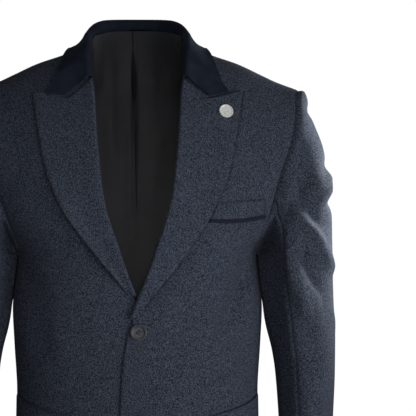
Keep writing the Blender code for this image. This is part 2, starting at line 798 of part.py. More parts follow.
def front_button(number, z, material):
    """A turned button with a raised rim and four holes through it."""
    r, t = BUTTON_RADIUS, BUTTON_THICK
    profile = (
        (0.0, t * 0.72), (r * 0.68, t * 0.72), (r * 0.82, t), (r * 0.94, t),
        (r, t * 0.70), (r, t * 0.35), (r * 0.90, 0.0), (0.0, 0.0),
    )
    button = turned(f"front_button_{number}", profile, 14, material)
    seated(button, BUTTON_X, z, REST)
    holes = button.modifiers.new("holes", "BOOLEAN")
    holes.operation = "DIFFERENCE"
    holes.solver = "EXACT"
    holes.object = drills(button)


def lapel_pin(material):
    """A plain round pin head with a raised rim, on the left lapel."""
    r, t = PIN_RADIUS, PIN_THICK
    profile = (
        (0.0, t * 0.62), (r * 0.66, t * 0.56), (r * 0.80, t * 0.92), (r * 0.90, t),
        (r * 0.98, t * 0.80), (r, t * 0.35), (r * 0.94, 0.0), (0.0, 0.0),
    )
    seated(turned("lapel_pin", profile, 20, material), PIN_X, PIN_Z, lapel_height(0.8) + REST)


def coat():
    blank_scene()
    tweed = look("tweed", (0.034, 0.039, 0.052), 0.92)
    velvet = look("velvet", (0.012, 0.016, 0.028), 0.85)
    satin = look("lining", (0.014, 0.014, 0.017), 0.45)
    trim = look("trim", (0.015, 0.018, 0.030), 0.70)
    horn = look("button", (0.036, 0.040, 0.055), 0.35)
    metal = look("pin", (0.62, 0.63, 0.60), 0.30, 0.9)

    panel("front_left", -1, 1, tweed)
    panel("front_right", -1, -1, tweed)
    panel("back_left", 1, 1, tweed)
    panel("back_right", 1, -1, tweed)
    front, back = math.radians(SEAM_FRONT), math.radians(SEAM_BACK)
    for word, side in (("left", 1), ("right", -1)):
        sleeve(f"sleeve_upper_{word}", back, front, UPPER_STEP, side, tweed)
        sleeve(f"sleeve_under_{word}", front, back + 2 * math.pi, UNDER_STEP, side, tweed)
    lapel("lapel_left", 1, LAPEL_FOOT_LEFT, tweed)
    lapel("lapel_right", -1, LAPEL_FOOT_RIGHT, tweed)
    collar(velvet)
    lining(satin)

    wide = [k / 8 for k in range(9)]
    patch("breast_welt", wide, (0.0, 0.5, 1.0), welt_place, 1, tweed)
    patch("breast_piping", wide, (0.0, 1.0), piping_place, 1, trim)
    for word, side in (("left", 1), ("right", -1)):
        flap_columns = (0.0, 0.05, 0.10, 0.25, 0.40, 0.55, 0.70, 0.80, 0.90, 0.95, 1.0)
        patch(f"pocket_flap_{word}", flap_columns, (0.0, 0.5, 1.0), flap_place, side, tweed)

    for number, z in enumerate(BUTTON_Z, 1):
        front_button(number, z, horn)
    lapel_pin(metal)


coat()
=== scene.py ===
"""Single-breasted tweed overcoat with a velvet collar and peak lapels, worn open at the neck.

Metres, +Z up. The front faces -Y and the wearer's left side is at +X. Each cloth piece is a thin
shell on the same section tables as its solid, with the creases laid in one by one.
"""

import math

import bmesh
import bpy
import numpy as np
from mathutils import Matrix, Vector


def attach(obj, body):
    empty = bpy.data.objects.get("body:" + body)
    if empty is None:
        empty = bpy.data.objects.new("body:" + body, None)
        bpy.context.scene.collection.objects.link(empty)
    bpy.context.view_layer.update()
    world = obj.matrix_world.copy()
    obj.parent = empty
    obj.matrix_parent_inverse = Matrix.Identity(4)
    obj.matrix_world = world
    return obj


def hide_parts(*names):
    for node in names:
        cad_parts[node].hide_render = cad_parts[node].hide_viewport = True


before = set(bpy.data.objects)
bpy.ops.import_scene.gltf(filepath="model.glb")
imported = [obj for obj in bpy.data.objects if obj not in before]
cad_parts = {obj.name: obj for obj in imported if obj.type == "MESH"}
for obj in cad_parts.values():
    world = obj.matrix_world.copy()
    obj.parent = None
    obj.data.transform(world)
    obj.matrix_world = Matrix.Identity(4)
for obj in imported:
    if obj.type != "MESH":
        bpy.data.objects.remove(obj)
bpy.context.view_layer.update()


def measured(*rows, plain=()):
    """Rows given in millimetres, in metres; the plain columns are angles, shares or sides."""
    return tuple(tuple(v if i in plain else v / 1000 for i, v in enumerate(row)) for row in rows)


def routes(*rows):
    """Long folds of a sleeve: places by angle and distance down, half width, height, steeper flank."""
    return tuple((measured(*spots, plain=(0,)), w / 1000, h / 1000, steep) for spots, w, h, steep in rows)


# ---- sizes

# Cloth walls
TWEED = 0.0024
VELVET = 0.0024
LINING = 0.0010
PATCH = 0.0018
# Gaps: at a seam, and under what lies on the cloth
SEAM = 0.0003
REST = 0.0004
STAND_REST = 0.0022
COLLAR_REST = 0.0011
LINING_REST = 0.0050
LAPEL_REST = 0.0009

# Body: side seams, neck, armhole and hem
SIDE_Y = 0.005
SQUARE = 2.3
NECK_HALF = 0.0755
NECK_BACK = 0.0215
NECK_SET = 0.060
NECK_SET_HALF = 0.105
FRONT_DROP = 0.245
BACK_DROP = 0.200
ARMPIT_Z = -0.3005
ARMHOLE_MID_Z = -0.1832
ARMHOLE_HALF_Z = 0.1170
ARMHOLE_FRONT = 0.064
ARMHOLE_BACK = 0.066
ARMHOLE_EGG = 0.19
ARMHOLE_ROUND = 0.425
HEM_Z = -0.945
# Distances from the centre between which the side seam and the armhole lie
SIDE_RANGE = (0.05, 0.31)
# Heights between which the side seam's groove begins, below the armpit
SIDE_SEAM_Z = (-0.385, -0.430)

# Shoulder line, on to the neck: distance from centre, height
SHOULDER = measured(
    (0, 34.5), (12, 33.7), (30, 29), (50, 19), (65, 8.5), (78, -1.5), (90, -8.5), (103, -14.2),
    (144, -28.3), (176, -43.2), (199, -54), (232, -66.2), (310, -100),
)

# Level sections of the body: height, half width, depth in front of the side seam, depth behind it
TORSO = measured(
    (-945, 204, 147, 150), (-720, 190, 138, 142), (-600, 179.5, 129, 128), (-500, 173, 123, 112),
    (-430, 176.8, 123, 110), (-378, 179.2, 125, 112), (-335, 174, 127, 115),
    (-300, 170.5, 128, 118), (-273, 186.4, 128, 120), (-243, 206.5, 128, 122),
    (-190, 234.5, 124, 124), (-124, 275, 116, 122), (-66, 300, 108, 118), (80, 305, 100, 113),
)

# Front edge of a front, which is the roll line above the top button: height, distance from centre
FRONT_EDGE = measured(
    (-945, -26), (-525.5, -25.5), (-461, -22.2), (-426, -17.4), (-403, -11.6), (-368, 1),
    (-327, 17.4), (-287, 30.9), (-243, 45.4), (-211, 52.2), (-128, 60.3), (-75.5, 63.2),
    (-53.5, 66.7), (-30, 69), (0, 72.7), (80, 72.7),
)

# Free edge of a lapel: height, distance from centre
LAPEL_EDGE = measured(
    (-395, -4), (-368, 12.5), (-346, 30.9), (-312, 58.9), (-271, 87), (-250, 100.6),
    (-232, 108.4), (-198, 123.1), (-166, 132.1), (-124, 139.5), (-89, 145.1), (-70.9, 147.4),
)
# The right lapel runs straighter to its foot
LAPEL_EDGE_RIGHT = measured(
    (-395, -15), (-373, 1), (-346, 21), (-312, 47), (-271, 78), (-250, 93.5), (-232, 104.5),
    (-198, 121.5),
) + LAPEL_EDGE[8:]
LAPEL_EDGES = {1: LAPEL_EDGE, -1: LAPEL_EDGE_RIGHT}
LAPEL_TOP_Z = -0.0556
LAPEL_FOOT_Z = {1: -0.390, -1: -0.358}
NOTCH = (0.0968, -0.0822)
ROLL_RADIUS = 0.0039
ROLL_STRIP = 0.0006
LAPEL_EASE = 0.0026
LAPEL_LEAST = 0.004
# How far a lapel's free edge stands off, and how much more low down on the right
LAPEL_LIFT = 0.0012
LAPEL_LIFT_RIGHT = 0.0105

# Collar, from its front end to the middle of the back: share of the way, fold line x, y and z,
# free edge x and y
COLLAR = measured(
    (0, 69.4, -60, -51, 128.8, -57.6),
    (0.08, 70.7, -55.8, -41.2, 119.5, -51.9),
    (0.16, 71.5, -47.7, -28, 114.8, -45.1),
    (0.27, 71.8, -26, -6, 108, -30),
    (0.4, 72, 5, 8.5, 96.5, 5),
    (0.52, 68.8, 28, 16.5, 89, 31),
    (0.64, 59.6, 52, 28, 77, 55),
    (0.76, 46, 70, 33.5, 58, 74.5),
    (0.88, 24, 83, 35.2, 30, 89),
    (1, 0, 86, 35.5, 0, 95),
    plain=(0,),
)
# The leaf swells at the back of the neck and is hollow where it falls to the shoulders; each is followed
# by the shares of the way between which it grows, and the hollow's end too
COLLAR_CROWN = 0.0020, (0.55, 0.80)
COLLAR_HOLLOW = 0.0034, (0.18, 0.36), (0.66, 0.50)
# Longest stand in front and behind, and where it changes
COLLAR_STAND = (0.003, 0.030), (0.25, 0.55)
# Share of the leaf at which its front end is notched, and how far round that goes
COLLAR_NOTCH = 0.485
COLLAR_NOTCH_LONG = 0.17

# Sleeve rings: distance down the outer line, underarm x and z, outer x and z, middle y, half depth
SLEEVE = measured(
    (0, 170.6, -300.2, 232, -66.2, 5, 64),
    (8, 171, -301, 239.5, -67.4, 5, 65.5),
    (18, 171.4, -302, 244, -76, 5, 67),
    (46, 171.9, -304.5, 250.5, -104, 5, 69.6),
    (95, 172.5, -309, 268, -152, 5, 72.8),
    (159, 173.4, -318, 278.5, -215, 4, 75.6),
    (203, 174.6, -328, 280, -259, 3, 75.5),
    (254, 176.8, -345, 280.5, -310, 2, 75),
    (320, 183, -384, 282, -376, -1, 72.5),
    (356, 187.5, -412, 284, -412, -3, 70.5),
    (414, 197, -468, 283.2, -470, -7, 66.5),
    (480, 202, -536, 280, -536, -13, 61.5),
    (544, 205, -600, 276.5, -600, -22, 57),
    (636, 206, -692, 272.5, -692, -36, 52),
)
SLEEVE_LONG = SLEEVE[-1][0]
SLEEVE_MEAN_RADIUS = 0.062
SLEEVE_GAP = 0.0006
# How much flatter the sleeve is inside its front seam, above and below the elbow
INNER_FLAT = 0.55
CUFF_FLAT = 0.22
ELBOW = (0.30, 0.42)
# The sleeve's two seams, as angles round it: 0 is the shoulder and 90 degrees the front
SEAM_FRONT = 112.0
SEAM_BACK = -112.0
# Where the sleeve lies close along the body's side: angles, and distances down, at which it starts to,
# does so fully, starts to leave it and is clear
HUG_GAP = 0.0010
HUG_TURN = (122, 158, 220, 262)
HUG_DOWN = (0.0, 0.05, 0.285, 0.385)

# Left front over right front, and left back over right back in the vent
OVERLAP_LIFT = 0.0034
OVERLAP_FULL = 0.030
OVERLAP_FADE = 0.095
OVERLAP_START = (-0.315, -0.358)
VENT_Z = -0.630
VENT_WIDTH = 0.036
VENT_START = (VENT_Z + 0.075, VENT_Z + 0.020)

# Lining: how it hangs in from the back, growing downwards and towards the middle, and how far its edges
# stay from the side seams and the hem
LINING_SLACK = 0.010
LINING_SLACK_Z = (0.012, -0.060)
LINING_SLACK_X = (0.110, 0.015)
LINING_CREASE_Z = (0.012, -0.030)
# Its upper edge below the shoulder line, how much lower it is beside the neck, and where that begins
LINING_BELOW = 0.012
LINING_LOWER = 0.022, (0.060, 0.085)
LINING_INSET = 0.009
LINING_HEM = 0.028
# Its pleat, a painted shadow line in the lining's colour, which leans past a middle point, and gapes at a
# height, over a half height, by a half width
PLEAT_X = -0.0047
PLEAT_Z = -0.085
PLEAT_LEAN = 0.023
PLEAT_FOOT = -0.246
PLEAT_SHADOW_HALF = 0.0009
PLEAT_SHADOW_GAPE = (-0.044, 0.041, 0.0030)
# The pleat's furrow: share of the slack, half width, heights between which it begins
PLEAT_FURROW = (0.30, 0.0040, (-0.300, -0.220))
# The lining's upper edge inside the neck: half width, depth, middle and side height
NECK_INSIDE = (0.0625, 0.0685, 0.0232, 0.0122)

# Pockets, buttons and pin
WELT_END = 0.1790
WELT_MIDDLE = 0.1190
WELT_TOP_Z = -0.2290
WELT_SLOPE = 0.0765
WELT_HIGH = 0.0201
WELT_SAG = 0.0033
WELT_FROM_LAPEL = 0.0012
PIPING_HIGH = 0.0062
PIPING_SWELL = 0.0010
FLAP_FRONT = (0.092, -0.5290)
FLAP_SIDE = (0.1705, -0.5000)
FLAP_HIGH = 0.058
FLAP_CURVE = 0.85
FLAP_CORNER = (0.20, 0.010)
BUTTON_X = 0.0014
BUTTON_Z = (-0.4087, -0.5387, -0.6687)
BUTTON_RADIUS = 0.0115
BUTTON_THICK = 0.0036
BUTTON_HOLE = 0.0011
BUTTON_HOLE_OUT = 0.0026
THREAD_RADIUS = 0.0003
STITCH_RADIUS = 0.00045
PIN_X = 0.1240
PIN_Z = -0.1012
PIN_RADIUS = 0.0102
PIN_THICK = 0.0024

# ---- creases

# Largest folds, which the solids have too
# Sleeve: angle and distance down at both ends, half width, height
SLEEVE_FOLDS = measured(
    (14, 38, -80, 38, 9, -4), (22, 114, -14, 122, 10, -3.6), (26, 134, -30, 141, 10, 4.5),
    (16, 166, -45, 182, 12, -6.5), (81, 78, 34, 212, 14, -5.5), (60, 196, 22, 262, 12, 3.5),
    (84, 195, 42, 308, 14, -4.5), (101, 190, 88, 325, 13, 4), (-60, 230, -95, 330, 16, -4.5),
    plain=(0, 2),
)
# Body: front (-1) or back (+1), x and z at both ends, half width, height
BODY_FOLDS = measured(
    (-1, 158, -330, 136, -430, 16, -3.5), (-1, 60, -640, 78, -945, 30, 4.5),
    (-1, 125, -640, 140, -945, 28, -5), (1, 70, -620, 85, -945, 32, 5),
    (1, 135, -620, 145, -945, 28, -5),
    plain=(0,),
)

# Finer creases: both ends, sideways bow, half width, height, and how much steeper one flank is;
# body and lining by x and z, sleeves by angle and distance down
FRONT_CREASES_LEFT = measured(
    (172, -306, 122, -426, 6, 15, -12.5, 0.35), (108, -250, 8, -380, 0, 13, -4.2, 0),
    (150, -330, 100, -440, 8, 14, 1.4, 0.2), (172, -372, 150, -448, 4, 9, 1.6, -0.3),
    (30, -412, 110, -386, -4, 10, -1, 0.2), (28, -424, 90, -452, 4, 9, -0.9, 0.25),
    (150, -262, 142, -318, 3, 10, -1, 0), (186, -120, 170, -200, 6, 16, -1.6, 0.2),
    (30, -560, 46, -930, 10, 22, -2.6, 0.2), (110, -600, 104, -930, -8, 18, 2.2, -0.2),
    plain=(7,),
)
FRONT_CREASES_RIGHT = measured(
    (166, -312, 118, -402, 5, 12, -2.6, 0.3), (146, -340, 104, -452, 7, 13, 1.5, 0.2),
    (26, -430, 96, -470, 4, 10, -1.2, 0.2), (24, -400, 70, -372, -3, 8, -0.8, 0.2),
    (182, -126, 168, -212, 5, 15, -1.6, 0.2), (40, -590, 52, -930, 8, 20, -2.4, 0.2),
    (104, -560, 100, -930, -8, 19, 2.2, -0.2),
    plain=(7,),
)
BACK_CREASES_LEFT = measured(
    (168, -300, 104, -392, 8, 13, -2.8, 0.3), (150, -360, 60, -440, -6, 14, -2.2, 0.2),
    (110, -470, 30, -500, -6, 12, -1.6, 0.2), (176, -120, 150, -260, 10, 16, -2.4, 0.2),
    (40, -80, 52, -230, 6, 24, 1.6, 0), (45, -660, 58, -930, 8, 20, -2.4, 0.2),
    plain=(7,),
)
BACK_CREASES_RIGHT = measured(
    (170, -306, 112, -380, 8, 12, -3, 0.3), (146, -374, 66, -430, -6, 13, -2, 0.2),
    (120, -452, 36, -508, -6, 13, -1.8, 0.2), (172, -130, 154, -246, 10, 15, -2.2, 0.2),
    (48, -90, 56, -210, 6, 22, 1.4, 0), (50, -640, 64, -930, 8, 19, -2.2, 0.2),
    plain=(7,),
)
SLEEVE_CREASES_LEFT = measured(
    (44, 300, 5, 352, 6, 9, 1.8, -0.2), (92, 330, 60, 405, 6, 10, -2.2, 0.2),
    (110, 400, 74, 470, 6, 11, 1.8, 0.2), (58, 420, 20, 455, -4, 9, -1.4, 0.2),
    (80, 500, 40, 560, 5, 11, -1.6, 0.2), (-20, 230, -70, 292, 6, 10, 2.4, 0.2),
    (-40, 340, -100, 372, 6, 10, -2.6, 0.3), (-52, 402, -104, 420, 5, 9, 2, -0.2),
    (-60, 112, -96, 214, 7, 11, -2.6, 0.2),
    plain=(0, 2, 4, 7),
)
SLEEVE_DRAWN_LEFT = routes(
    (((84, 62), (80, 103), (69, 146), (50, 188), (26, 218)), 8.5, -8.5, 0.25),
    (((96, 76), (90, 112), (79, 157), (60, 202), (38, 236)), 8.5, 4.6, 0),
    (((66, 86), (54, 122), (33, 148), (6, 154)), 13, 9, 0),
    (((48, 50), (66, 54), (84, 60)), 26, -5, 0),
    (((107, 110), (107, 180), (106, 250), (104, 330)), 7, 4, 0),
    (((134, 80), (137, 200), (139, 320), (141, 440), (142, 600)), 17, 5, 0),
    (((58, 70), (46, 94), (28, 110)), 8, -3, 0),
    (((92, 180), (78, 236), (67, 272), (40, 314)), 8.5, -7.5, 0.25),
    (((62, 206), (40, 246), (12, 280)), 10, 4.2, 0),
    (((106, 160), (102, 217), (96, 272), (88, 308), (78, 350)), 9.5, 5, 0),
)
SLEEVE_DRAWN_RIGHT = routes(
    (((86, 70), (78, 112), (64, 150), (40, 196)), 9.5, -5, 0.2),
    (((98, 90), (86, 140), (62, 206)), 9, 3.4, 0),
    (((92, 196), (74, 244), (44, 300)), 9.5, -4.2, 0.2),
    (((104, 180), (98, 250), (88, 330)), 10, 3.6, 0),
)
SLEEVE_CREASES_RIGHT = measured(
    (56, 276, 12, 312, -5, 9, -2.2, 0.25), (96, 342, 56, 398, 6, 10, -2, 0.2),
    (104, 420, 70, 478, 6, 10, 1.8, 0.2), (70, 510, 36, 552, 5, 11, -1.6, 0.2),
    (-24, 240, -66, 300, 6, 10, 2.4, 0.2), (-46, 350, -102, 368, 6, 10, -2.8, 0.3),
    (-56, 408, -100, 432, 5, 9, 2, -0.2), (-56, 120, -92, 206, 7, 11, -2.4, 0.2),
    plain=(0, 2, 4, 7),
)
LINING_CREASES = measured(
    (-46, 10, -38, -170, 4, 10, 3.6, 0.2), (-54, -10, -46, -105, 2, 6, -4, 0.2),
    (40, 4, 34, -150, -4, 11, 3.4, -0.2), (56, -50, 20, -140, -4, 10, -3, 0.2),
    (-22, -80, -18, -330, 3, 9, -2.8, 0), (22, -110, 20, -300, -3, 12, 3, 0),
    (66, -120, 50, -360, -4, 12, 3, 0.2), (-68, -100, -54, -340, 4, 12, 3, 0.2),
    plain=(7,),
)

# Folds on the body die out this far from the side seam and the armhole
FOLD_FADE = (0.001, 0.014)
# How the sewn edges lie: depth and reach of the groove at a seam, and of the turn at a free edge
SEAM_SINK = 0.0012
SEAM_REACH = 0.0028
EDGE_SINK = 0.0007
EDGE_REACH = 0.0016
# How far the sleeve head goes in under the edge of the armhole, how it sinks there, and past which
# angles, behind and in front, it lies flush instead
HEAD_TUCK = 0.0020
HEAD_SINK = 0.0014
HEAD_LOW_SINK = -0.0004
HEAD_REACH = 0.0018
HEAD_LOW_BACK = (-60, -100)
HEAD_LOW_FRONT = (118, 150)
# How the fronts are pressed in beside the edges of the pieces that lie on them: depth, reach, distance
PRESS_SINK = 0.0024
PRESS_REACH = 0.0021
PRESS_OUT = 0.0010

# ---- tables and rules


def along(table, key):
    """The other columns of a table at values of its first column, on a smooth curve."""
    table = np.asarray(table, float)
    keys, values = table[:, 0], table[:, 1:]
    key = np.clip(np.asarray(key, float), keys[0], keys[-1])
    i = np.clip(np.searchsorted(keys, key, side="right") - 1, 0, len(keys) - 2)
    step = (keys[i + 1] - keys[i])[..., None]
    t = (key - keys[i])[..., None] / step
    rise = np.diff(values, axis=0) / np.diff(keys)[:, None]
    before, after = np.vstack([rise[:1], rise]), np.vstack([rise, rise[-1:]])
    same = before * after > 0
    slope = np.where(same, 2 * before * after / np.where(same, before + after, 1.0), 0.0)
    found = values[i] * (1 + 2 * t) * (1 - t) ** 2 + values[i + 1] * t * t * (3 - 2 * t)
    found = found + step * (slope[i] * t * (1 - t) ** 2 - slope[i + 1] * t * t * (1 - t))
    return found[..., 0] if values.shape[1] == 1 else np.moveaxis(found, -1, 0)


def ease(low, high, value):
    """A soft step from 0 at low to 1 at high."""
    t = np.clip((value - low) / (high - low), 0.0, 1.0)
    return t * t * (3 - 2 * t)


def mix(a, b, share):
    return a + (b - a) * share


def root(rule, low, high):
    """Where a rule that is positive at low and falls first reaches nothing."""
    for _ in range(44):
        middle = (low + high) / 2
        good = rule(middle) > 0
        low, high = np.where(good, middle, low), np.where(good, high, middle)
    return (low + high) / 2


def point(x, y, z):
    return np.stack(np.broadcast_arrays(x, y, z), axis=-1).astype(float)


def dot(a, b):
    return np.sum(a * b, axis=-1, keepdims=True)


def unit(v):
    return v / np.maximum(np.linalg.norm(v, axis=-1, keepdims=True), 1e-12)


def tight_ends(count, tightness=0.8):
    """Shares from 0 to 1 that lie closer together at both ends."""
    s = np.linspace(0.0, 1.0, count)
    return s - tightness * np.sin(2 * math.pi * s) / (2 * math.pi)


def ridge_z(x):
    """Height of the shoulder line at a distance from the centre."""
    return along(SHOULDER, np.abs(x))


def fullness(x, z, face):
    """How much of its full depth the body has at a height below the shoulder line."""
    drop = np.where(np.asarray(face) < 0, FRONT_DROP, BACK_DROP)
    fall = np.clip((ridge_z(x) - z) / drop, 0.0, 1.0)
    return np.sqrt(1 - (1 - fall) ** 2)


def depth(x, z, face):
    """How far the body's outer face lies in front of the shoulder line (-1) or behind it (1)."""
    half_width, front, back = along(TORSO, z)
    level = np.maximum(0.0, 1 - (np.abs(x) / half_width) ** SQUARE) ** (1 / SQUARE)
    return np.where(np.asarray(face) < 0, front, back) * level * fullness(x, z, face)


def ridge_y(x):
    """The shoulder line runs back behind the neck."""
    return SIDE_Y + NECK_SET * np.maximum(0.0, 1 - (x / NECK_SET_HALF) ** 2) ** 2


def skin(x, z, face):
    """A point of the body's outer face."""
    set_back = (ridge_y(x) - SIDE_Y) * (1 - fullness(x, z, face))
    return point(x, SIDE_Y + set_back + face * depth(x, z, face), z)


def outward(x, z, face):
    """Unit vector square to the body's outer face."""
    step = 0.0004
    across = skin(x + step, z, face) - skin(x - step, z, face)
    up = skin(x, z + step, face) - skin(x, z - step, face)
    return unit(np.cross(across, up) * -np.asarray(face, float)[..., None])


def folds(rows, x, y, scale=1.0):
    """Height of the largest folds, laid along straight lines, at places beside them."""
    total = 0.0
    for x0, y0, x1, y1, width, height in rows:
        along_x, along_y = (x1 - x0) * scale, y1 - y0
        off_x, off_y = (x - x0) * scale, y - y0
        t = np.clip((off_x * along_x + off_y * along_y) / (along_x**2 + along_y**2), 0.0, 1.0)
        gap = np.hypot(off_x - t * along_x, off_y - t * along_y)
        total = total + height * np.exp(-((gap / width) ** 2))
    return total


def creases(rows, x, y, scale=1.0):
    """Height of finer creases, which bow sideways and fade at their ends."""
    total = 0.0
    for x0, y0, x1, y1, bow, width, height, steep in rows:
        along_x, along_y = (x1 - x0) * scale, y1 - y0
        off_x, off_y = (x - x0) * scale, y - y0
        length = math.hypot(along_x, along_y)
        t = (off_x * along_x + off_y * along_y) / length**2
        gap = (off_x * along_y - off_y * along_x) / length - bow * scale * 4 * t * (1 - t)
        reach = width * (1 + steep * np.tanh(gap / (0.4 * width)))
        fade = ease(-0.12, 0.32, t) * ease(1.12, 0.62, t)
        total = total + height * fade * np.exp(-((gap / reach) ** 2))
    return total


def drawn(rows, x, y, scale=1.0):
    """Height of long folds that run through several places and fade at their ends."""
    total = 0.0
    for spots, width, height, steep in rows:
        share = np.linspace(0.0, 1.0, 90)
        way = [(i, *spot) for i, spot in enumerate(spots)]
        path_x, path_y = along(way, share * (len(spots) - 1))
        path_x = path_x * scale
        away = (x[..., None] * scale - path_x) ** 2 + (y[..., None] - path_y) ** 2
        nearest = np.argmin(away, axis=-1)
        run_x, run_y = np.gradient(path_x)[nearest], np.gradient(path_y)[nearest]
        off_x, off_y = x * scale - path_x[nearest], y - path_y[nearest]
        gap = (off_x * run_y - off_y * run_x) / np.hypot(run_x, run_y)
        reach = width * (1 + steep * np.tanh(gap / (0.4 * width)))
        fade = ease(0.0, 0.35, share[nearest]) * ease(1.0, 0.65, share[nearest])
        total = total + height * fade * np.exp(-((gap / reach) ** 2))
    return total


PANEL_CREASES = {
    (-1, 1): FRONT_CREASES_LEFT,
    (-1, -1): FRONT_CREASES_RIGHT,
    (1, 1): BACK_CREASES_LEFT,
    (1, -1): BACK_CREASES_RIGHT,
}


def body_fold(x, z, face, side):
    """Fold height on the body, which dies out at the side seam and the armhole."""
    rows = [row[1:] for row in BODY_FOLDS if row[0] == face]
    height = folds(rows, np.abs(x), z) + creases(PANEL_CREASES[face, side], x, z)
    return height * ease(*FOLD_FADE, along(TORSO, z)[0] - np.abs(x))


def overlap(x, z, face, side):
    """How far the left piece stands out to clear the right piece under it."""
    if side < 0:
        return 0.0
    spread = OVERLAP_LIFT * ease(OVERLAP_FADE, OVERLAP_FULL, x)
    return spread * ease(*(OVERLAP_START if face < 0 else VENT_START), z)


def cloth(x, z, face, side, out=0.0):
    """A point of a panel's outer face, or that far out from it; x counts towards the panel's side."""
    rise = out + body_fold(x, z, face, side) + overlap(x, z, face, side)
    found = skin(x, z, face) + outward(x, z, face) * np.asarray(rise)[..., None]
    return found * (side, 1.0, 1.0)


# ---- sheets


def from_edge(grid, edge):
    """How far each point of a grid lies from one of its edges, measured on the cloth."""
    axis = 1 if edge in ("first", "last") else 0
    steps = np.linalg.norm(np.diff(grid, axis=axis), axis=-1)
    start = np.zeros_like(np.take(steps, [0], axis=axis))
    run = np.concatenate([start, np.cumsum(steps, axis=axis)], axis=axis)
    return np.take(run, [-1], axis=axis) - run if edge in ("last", "top") else run


def facing(grid, flip):
    """Unit vectors square to a grid, on its outer face."""
    out = unit(np.cross(np.gradient(grid, axis=1), np.gradient(grid, axis=0)))
    return -out if flip else out


def sewn(grid, flip, seams=(), edges=(), rise=0.0):
    """A grid moved out by a rise, with its seams drawn in and its free edges turned in."""
    total = np.zeros(grid.shape[:2]) + rise
    for edge in seams:
        total -= SEAM_SINK * np.exp(-((from_edge(grid, edge) / SEAM_REACH) ** 2))
    for edge in edges:
        total -= EDGE_SINK * np.exp(-((from_edge(grid, edge) / EDGE_REACH) ** 2))
    return grid + facing(grid, flip) * total[..., None]


def sheet(name, grid, thick, material, flip=False):
    """A cloth wall on a grid of points of its outer face, with a map of the cloth in metres."""
    rows, columns = grid.shape[:2]
    corner = np.arange(rows * columns).reshape(rows, columns)
    quads = np.stack([corner[:-1, :-1], corner[:-1, 1:], corner[1:, 1:], corner[1:, :-1]], axis=-1)
    quads = quads.reshape(-1, 4)
    quads = quads[:, ::-1] if flip else quads
    mesh = bpy.data.meshes.new(name)
    mesh.from_pydata(grid.reshape(-1, 3).tolist(), [], quads.tolist())
    mesh.polygons.foreach_set("use_smooth", [True] * len(quads))
    middle = columns // 2
    run = from_edge(grid, "first")
    run = run - run[:, [middle]]
    rise = np.broadcast_to(from_edge(grid, "bottom")[:, [middle]], run.shape)
    places = np.stack([run, rise], axis=-1).reshape(-1, 2)
    mesh.uv_layers.new(name="cloth").data.foreach_set("uv", places[quads.reshape(-1)].reshape(-1))
    piece = added(name, mesh, material)
    wall = piece.modifiers.new("wall", "SOLIDIFY")
    wall.thickness = thick
    wall.offset = -1.0
    wall.use_quality_normals = True
    return piece


def added(name, data, material):
    piece = bpy.data.objects.new(name, data)
    data.materials.append(material)
    bpy.context.scene.collection.objects.link(piece)
    return piece


def belongs(piece, node=None):
    """The piece rides with the coat and may stand for a solid, whose part it hides."""
    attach(piece, "root")
    if node:
        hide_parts(node)
    return piece


# ---- fronts and backs

# Rows are level below the armpit, closer above the flaps, and gather towards the shoulder line above it
SKIRT_Z = -0.545
LOWER_ROWS = np.concatenate([np.linspace(HEM_Z, SKIRT_Z, 56)[:-1], np.linspace(SKIRT_Z, ARMPIT_Z, 108)])
UPPER_SHARES = 1 - np.linspace(1.0, 0.0, 166)[1:] ** 1.75
ROW_SHARE = np.concatenate([np.zeros(len(LOWER_ROWS)), UPPER_SHARES])
ROW_LEVEL = np.concatenate([LOWER_ROWS, np.full(len(UPPER_SHARES), ARMPIT_Z)])
PANEL_COLUMNS = {-1: tight_ends(128, 0.5), 1: tight_ends(60)}
# The last row lies on the shoulder line and ends where a row just below it does
TOP_SHARE = 0.99998
# The fronts leave more room beside the collar, above this height to that one
GORGE_GAP = 0.0016
GORGE_Z = (LAPEL_TOP_Z - 0.020, LAPEL_TOP_Z + 0.006)


def row_z(share, level, x, top=ridge_z):
    return share * top(x) + (1 - share) * level


def armhole_reach(z, face):
    """Half depth of the armhole at a height, in front of the side seam or behind it."""
    level = np.clip((z - ARMHOLE_MID_Z) / ARMHOLE_HALF_Z, -1.0, 1.0)
    half = np.where(np.asarray(face) < 0, ARMHOLE_FRONT, ARMHOLE_BACK)
    return half * (1 - level**2) ** ARMHOLE_ROUND * (1 - ARMHOLE_EGG * level)


def row_end(share, level, face):
    """Where a row of a panel meets the armhole or the side seam."""

    def room(x):
        z = row_z(share, level, x)
        return depth(x, z, face) - armhole_reach(z, face)

    return root(room, *SIDE_RANGE)


def front_start(share, level):
    """Where a row of a front meets its free edge or its roll line."""

    def room(x):
        z = row_z(share, level, x)
        gap = 2 * SEAM + ROLL_STRIP + GORGE_GAP * ease(*GORGE_Z, z)
        return along(FRONT_EDGE, z) + gap - x

    return root(room, -0.05, 0.12)


def neck_z(x):
    """Height of the back neckline."""
    return mix(NECK_BACK, ridge_z(NECK_HALF), (x / NECK_HALF) ** 2)


def back_start(share, level, side):
    """Where a row of a back meets the neckline, the centre seam or the edge of the vent."""
    at_neck = root(lambda x: row_z(share, level, x) - neck_z(x), 0.0, NECK_HALF + 0.001)
    vent = (side > 0) & (share == 0) & (level < VENT_Z)
    start = np.where(vent, -VENT_WIDTH, 1.4 * SEAM)
    return np.where(row_z(share, level, 0.0) > NECK_BACK, at_neck, start)


def spaced(first, last, shares, half_width):
    """Distances from the centre, evenly spread round the section between two of them."""
    half_width = np.maximum(half_width, last)
    turn = [np.sign(x) * np.arcsin((np.abs(x) / half_width) ** (SQUARE / 2)) for x in (first, last)]
    sine = np.sin(mix(turn[0][:, None], turn[1][:, None], shares[None, :]))
    return np.sign(sine) * half_width[:, None] * np.abs(sine) ** (2 / SQUARE)


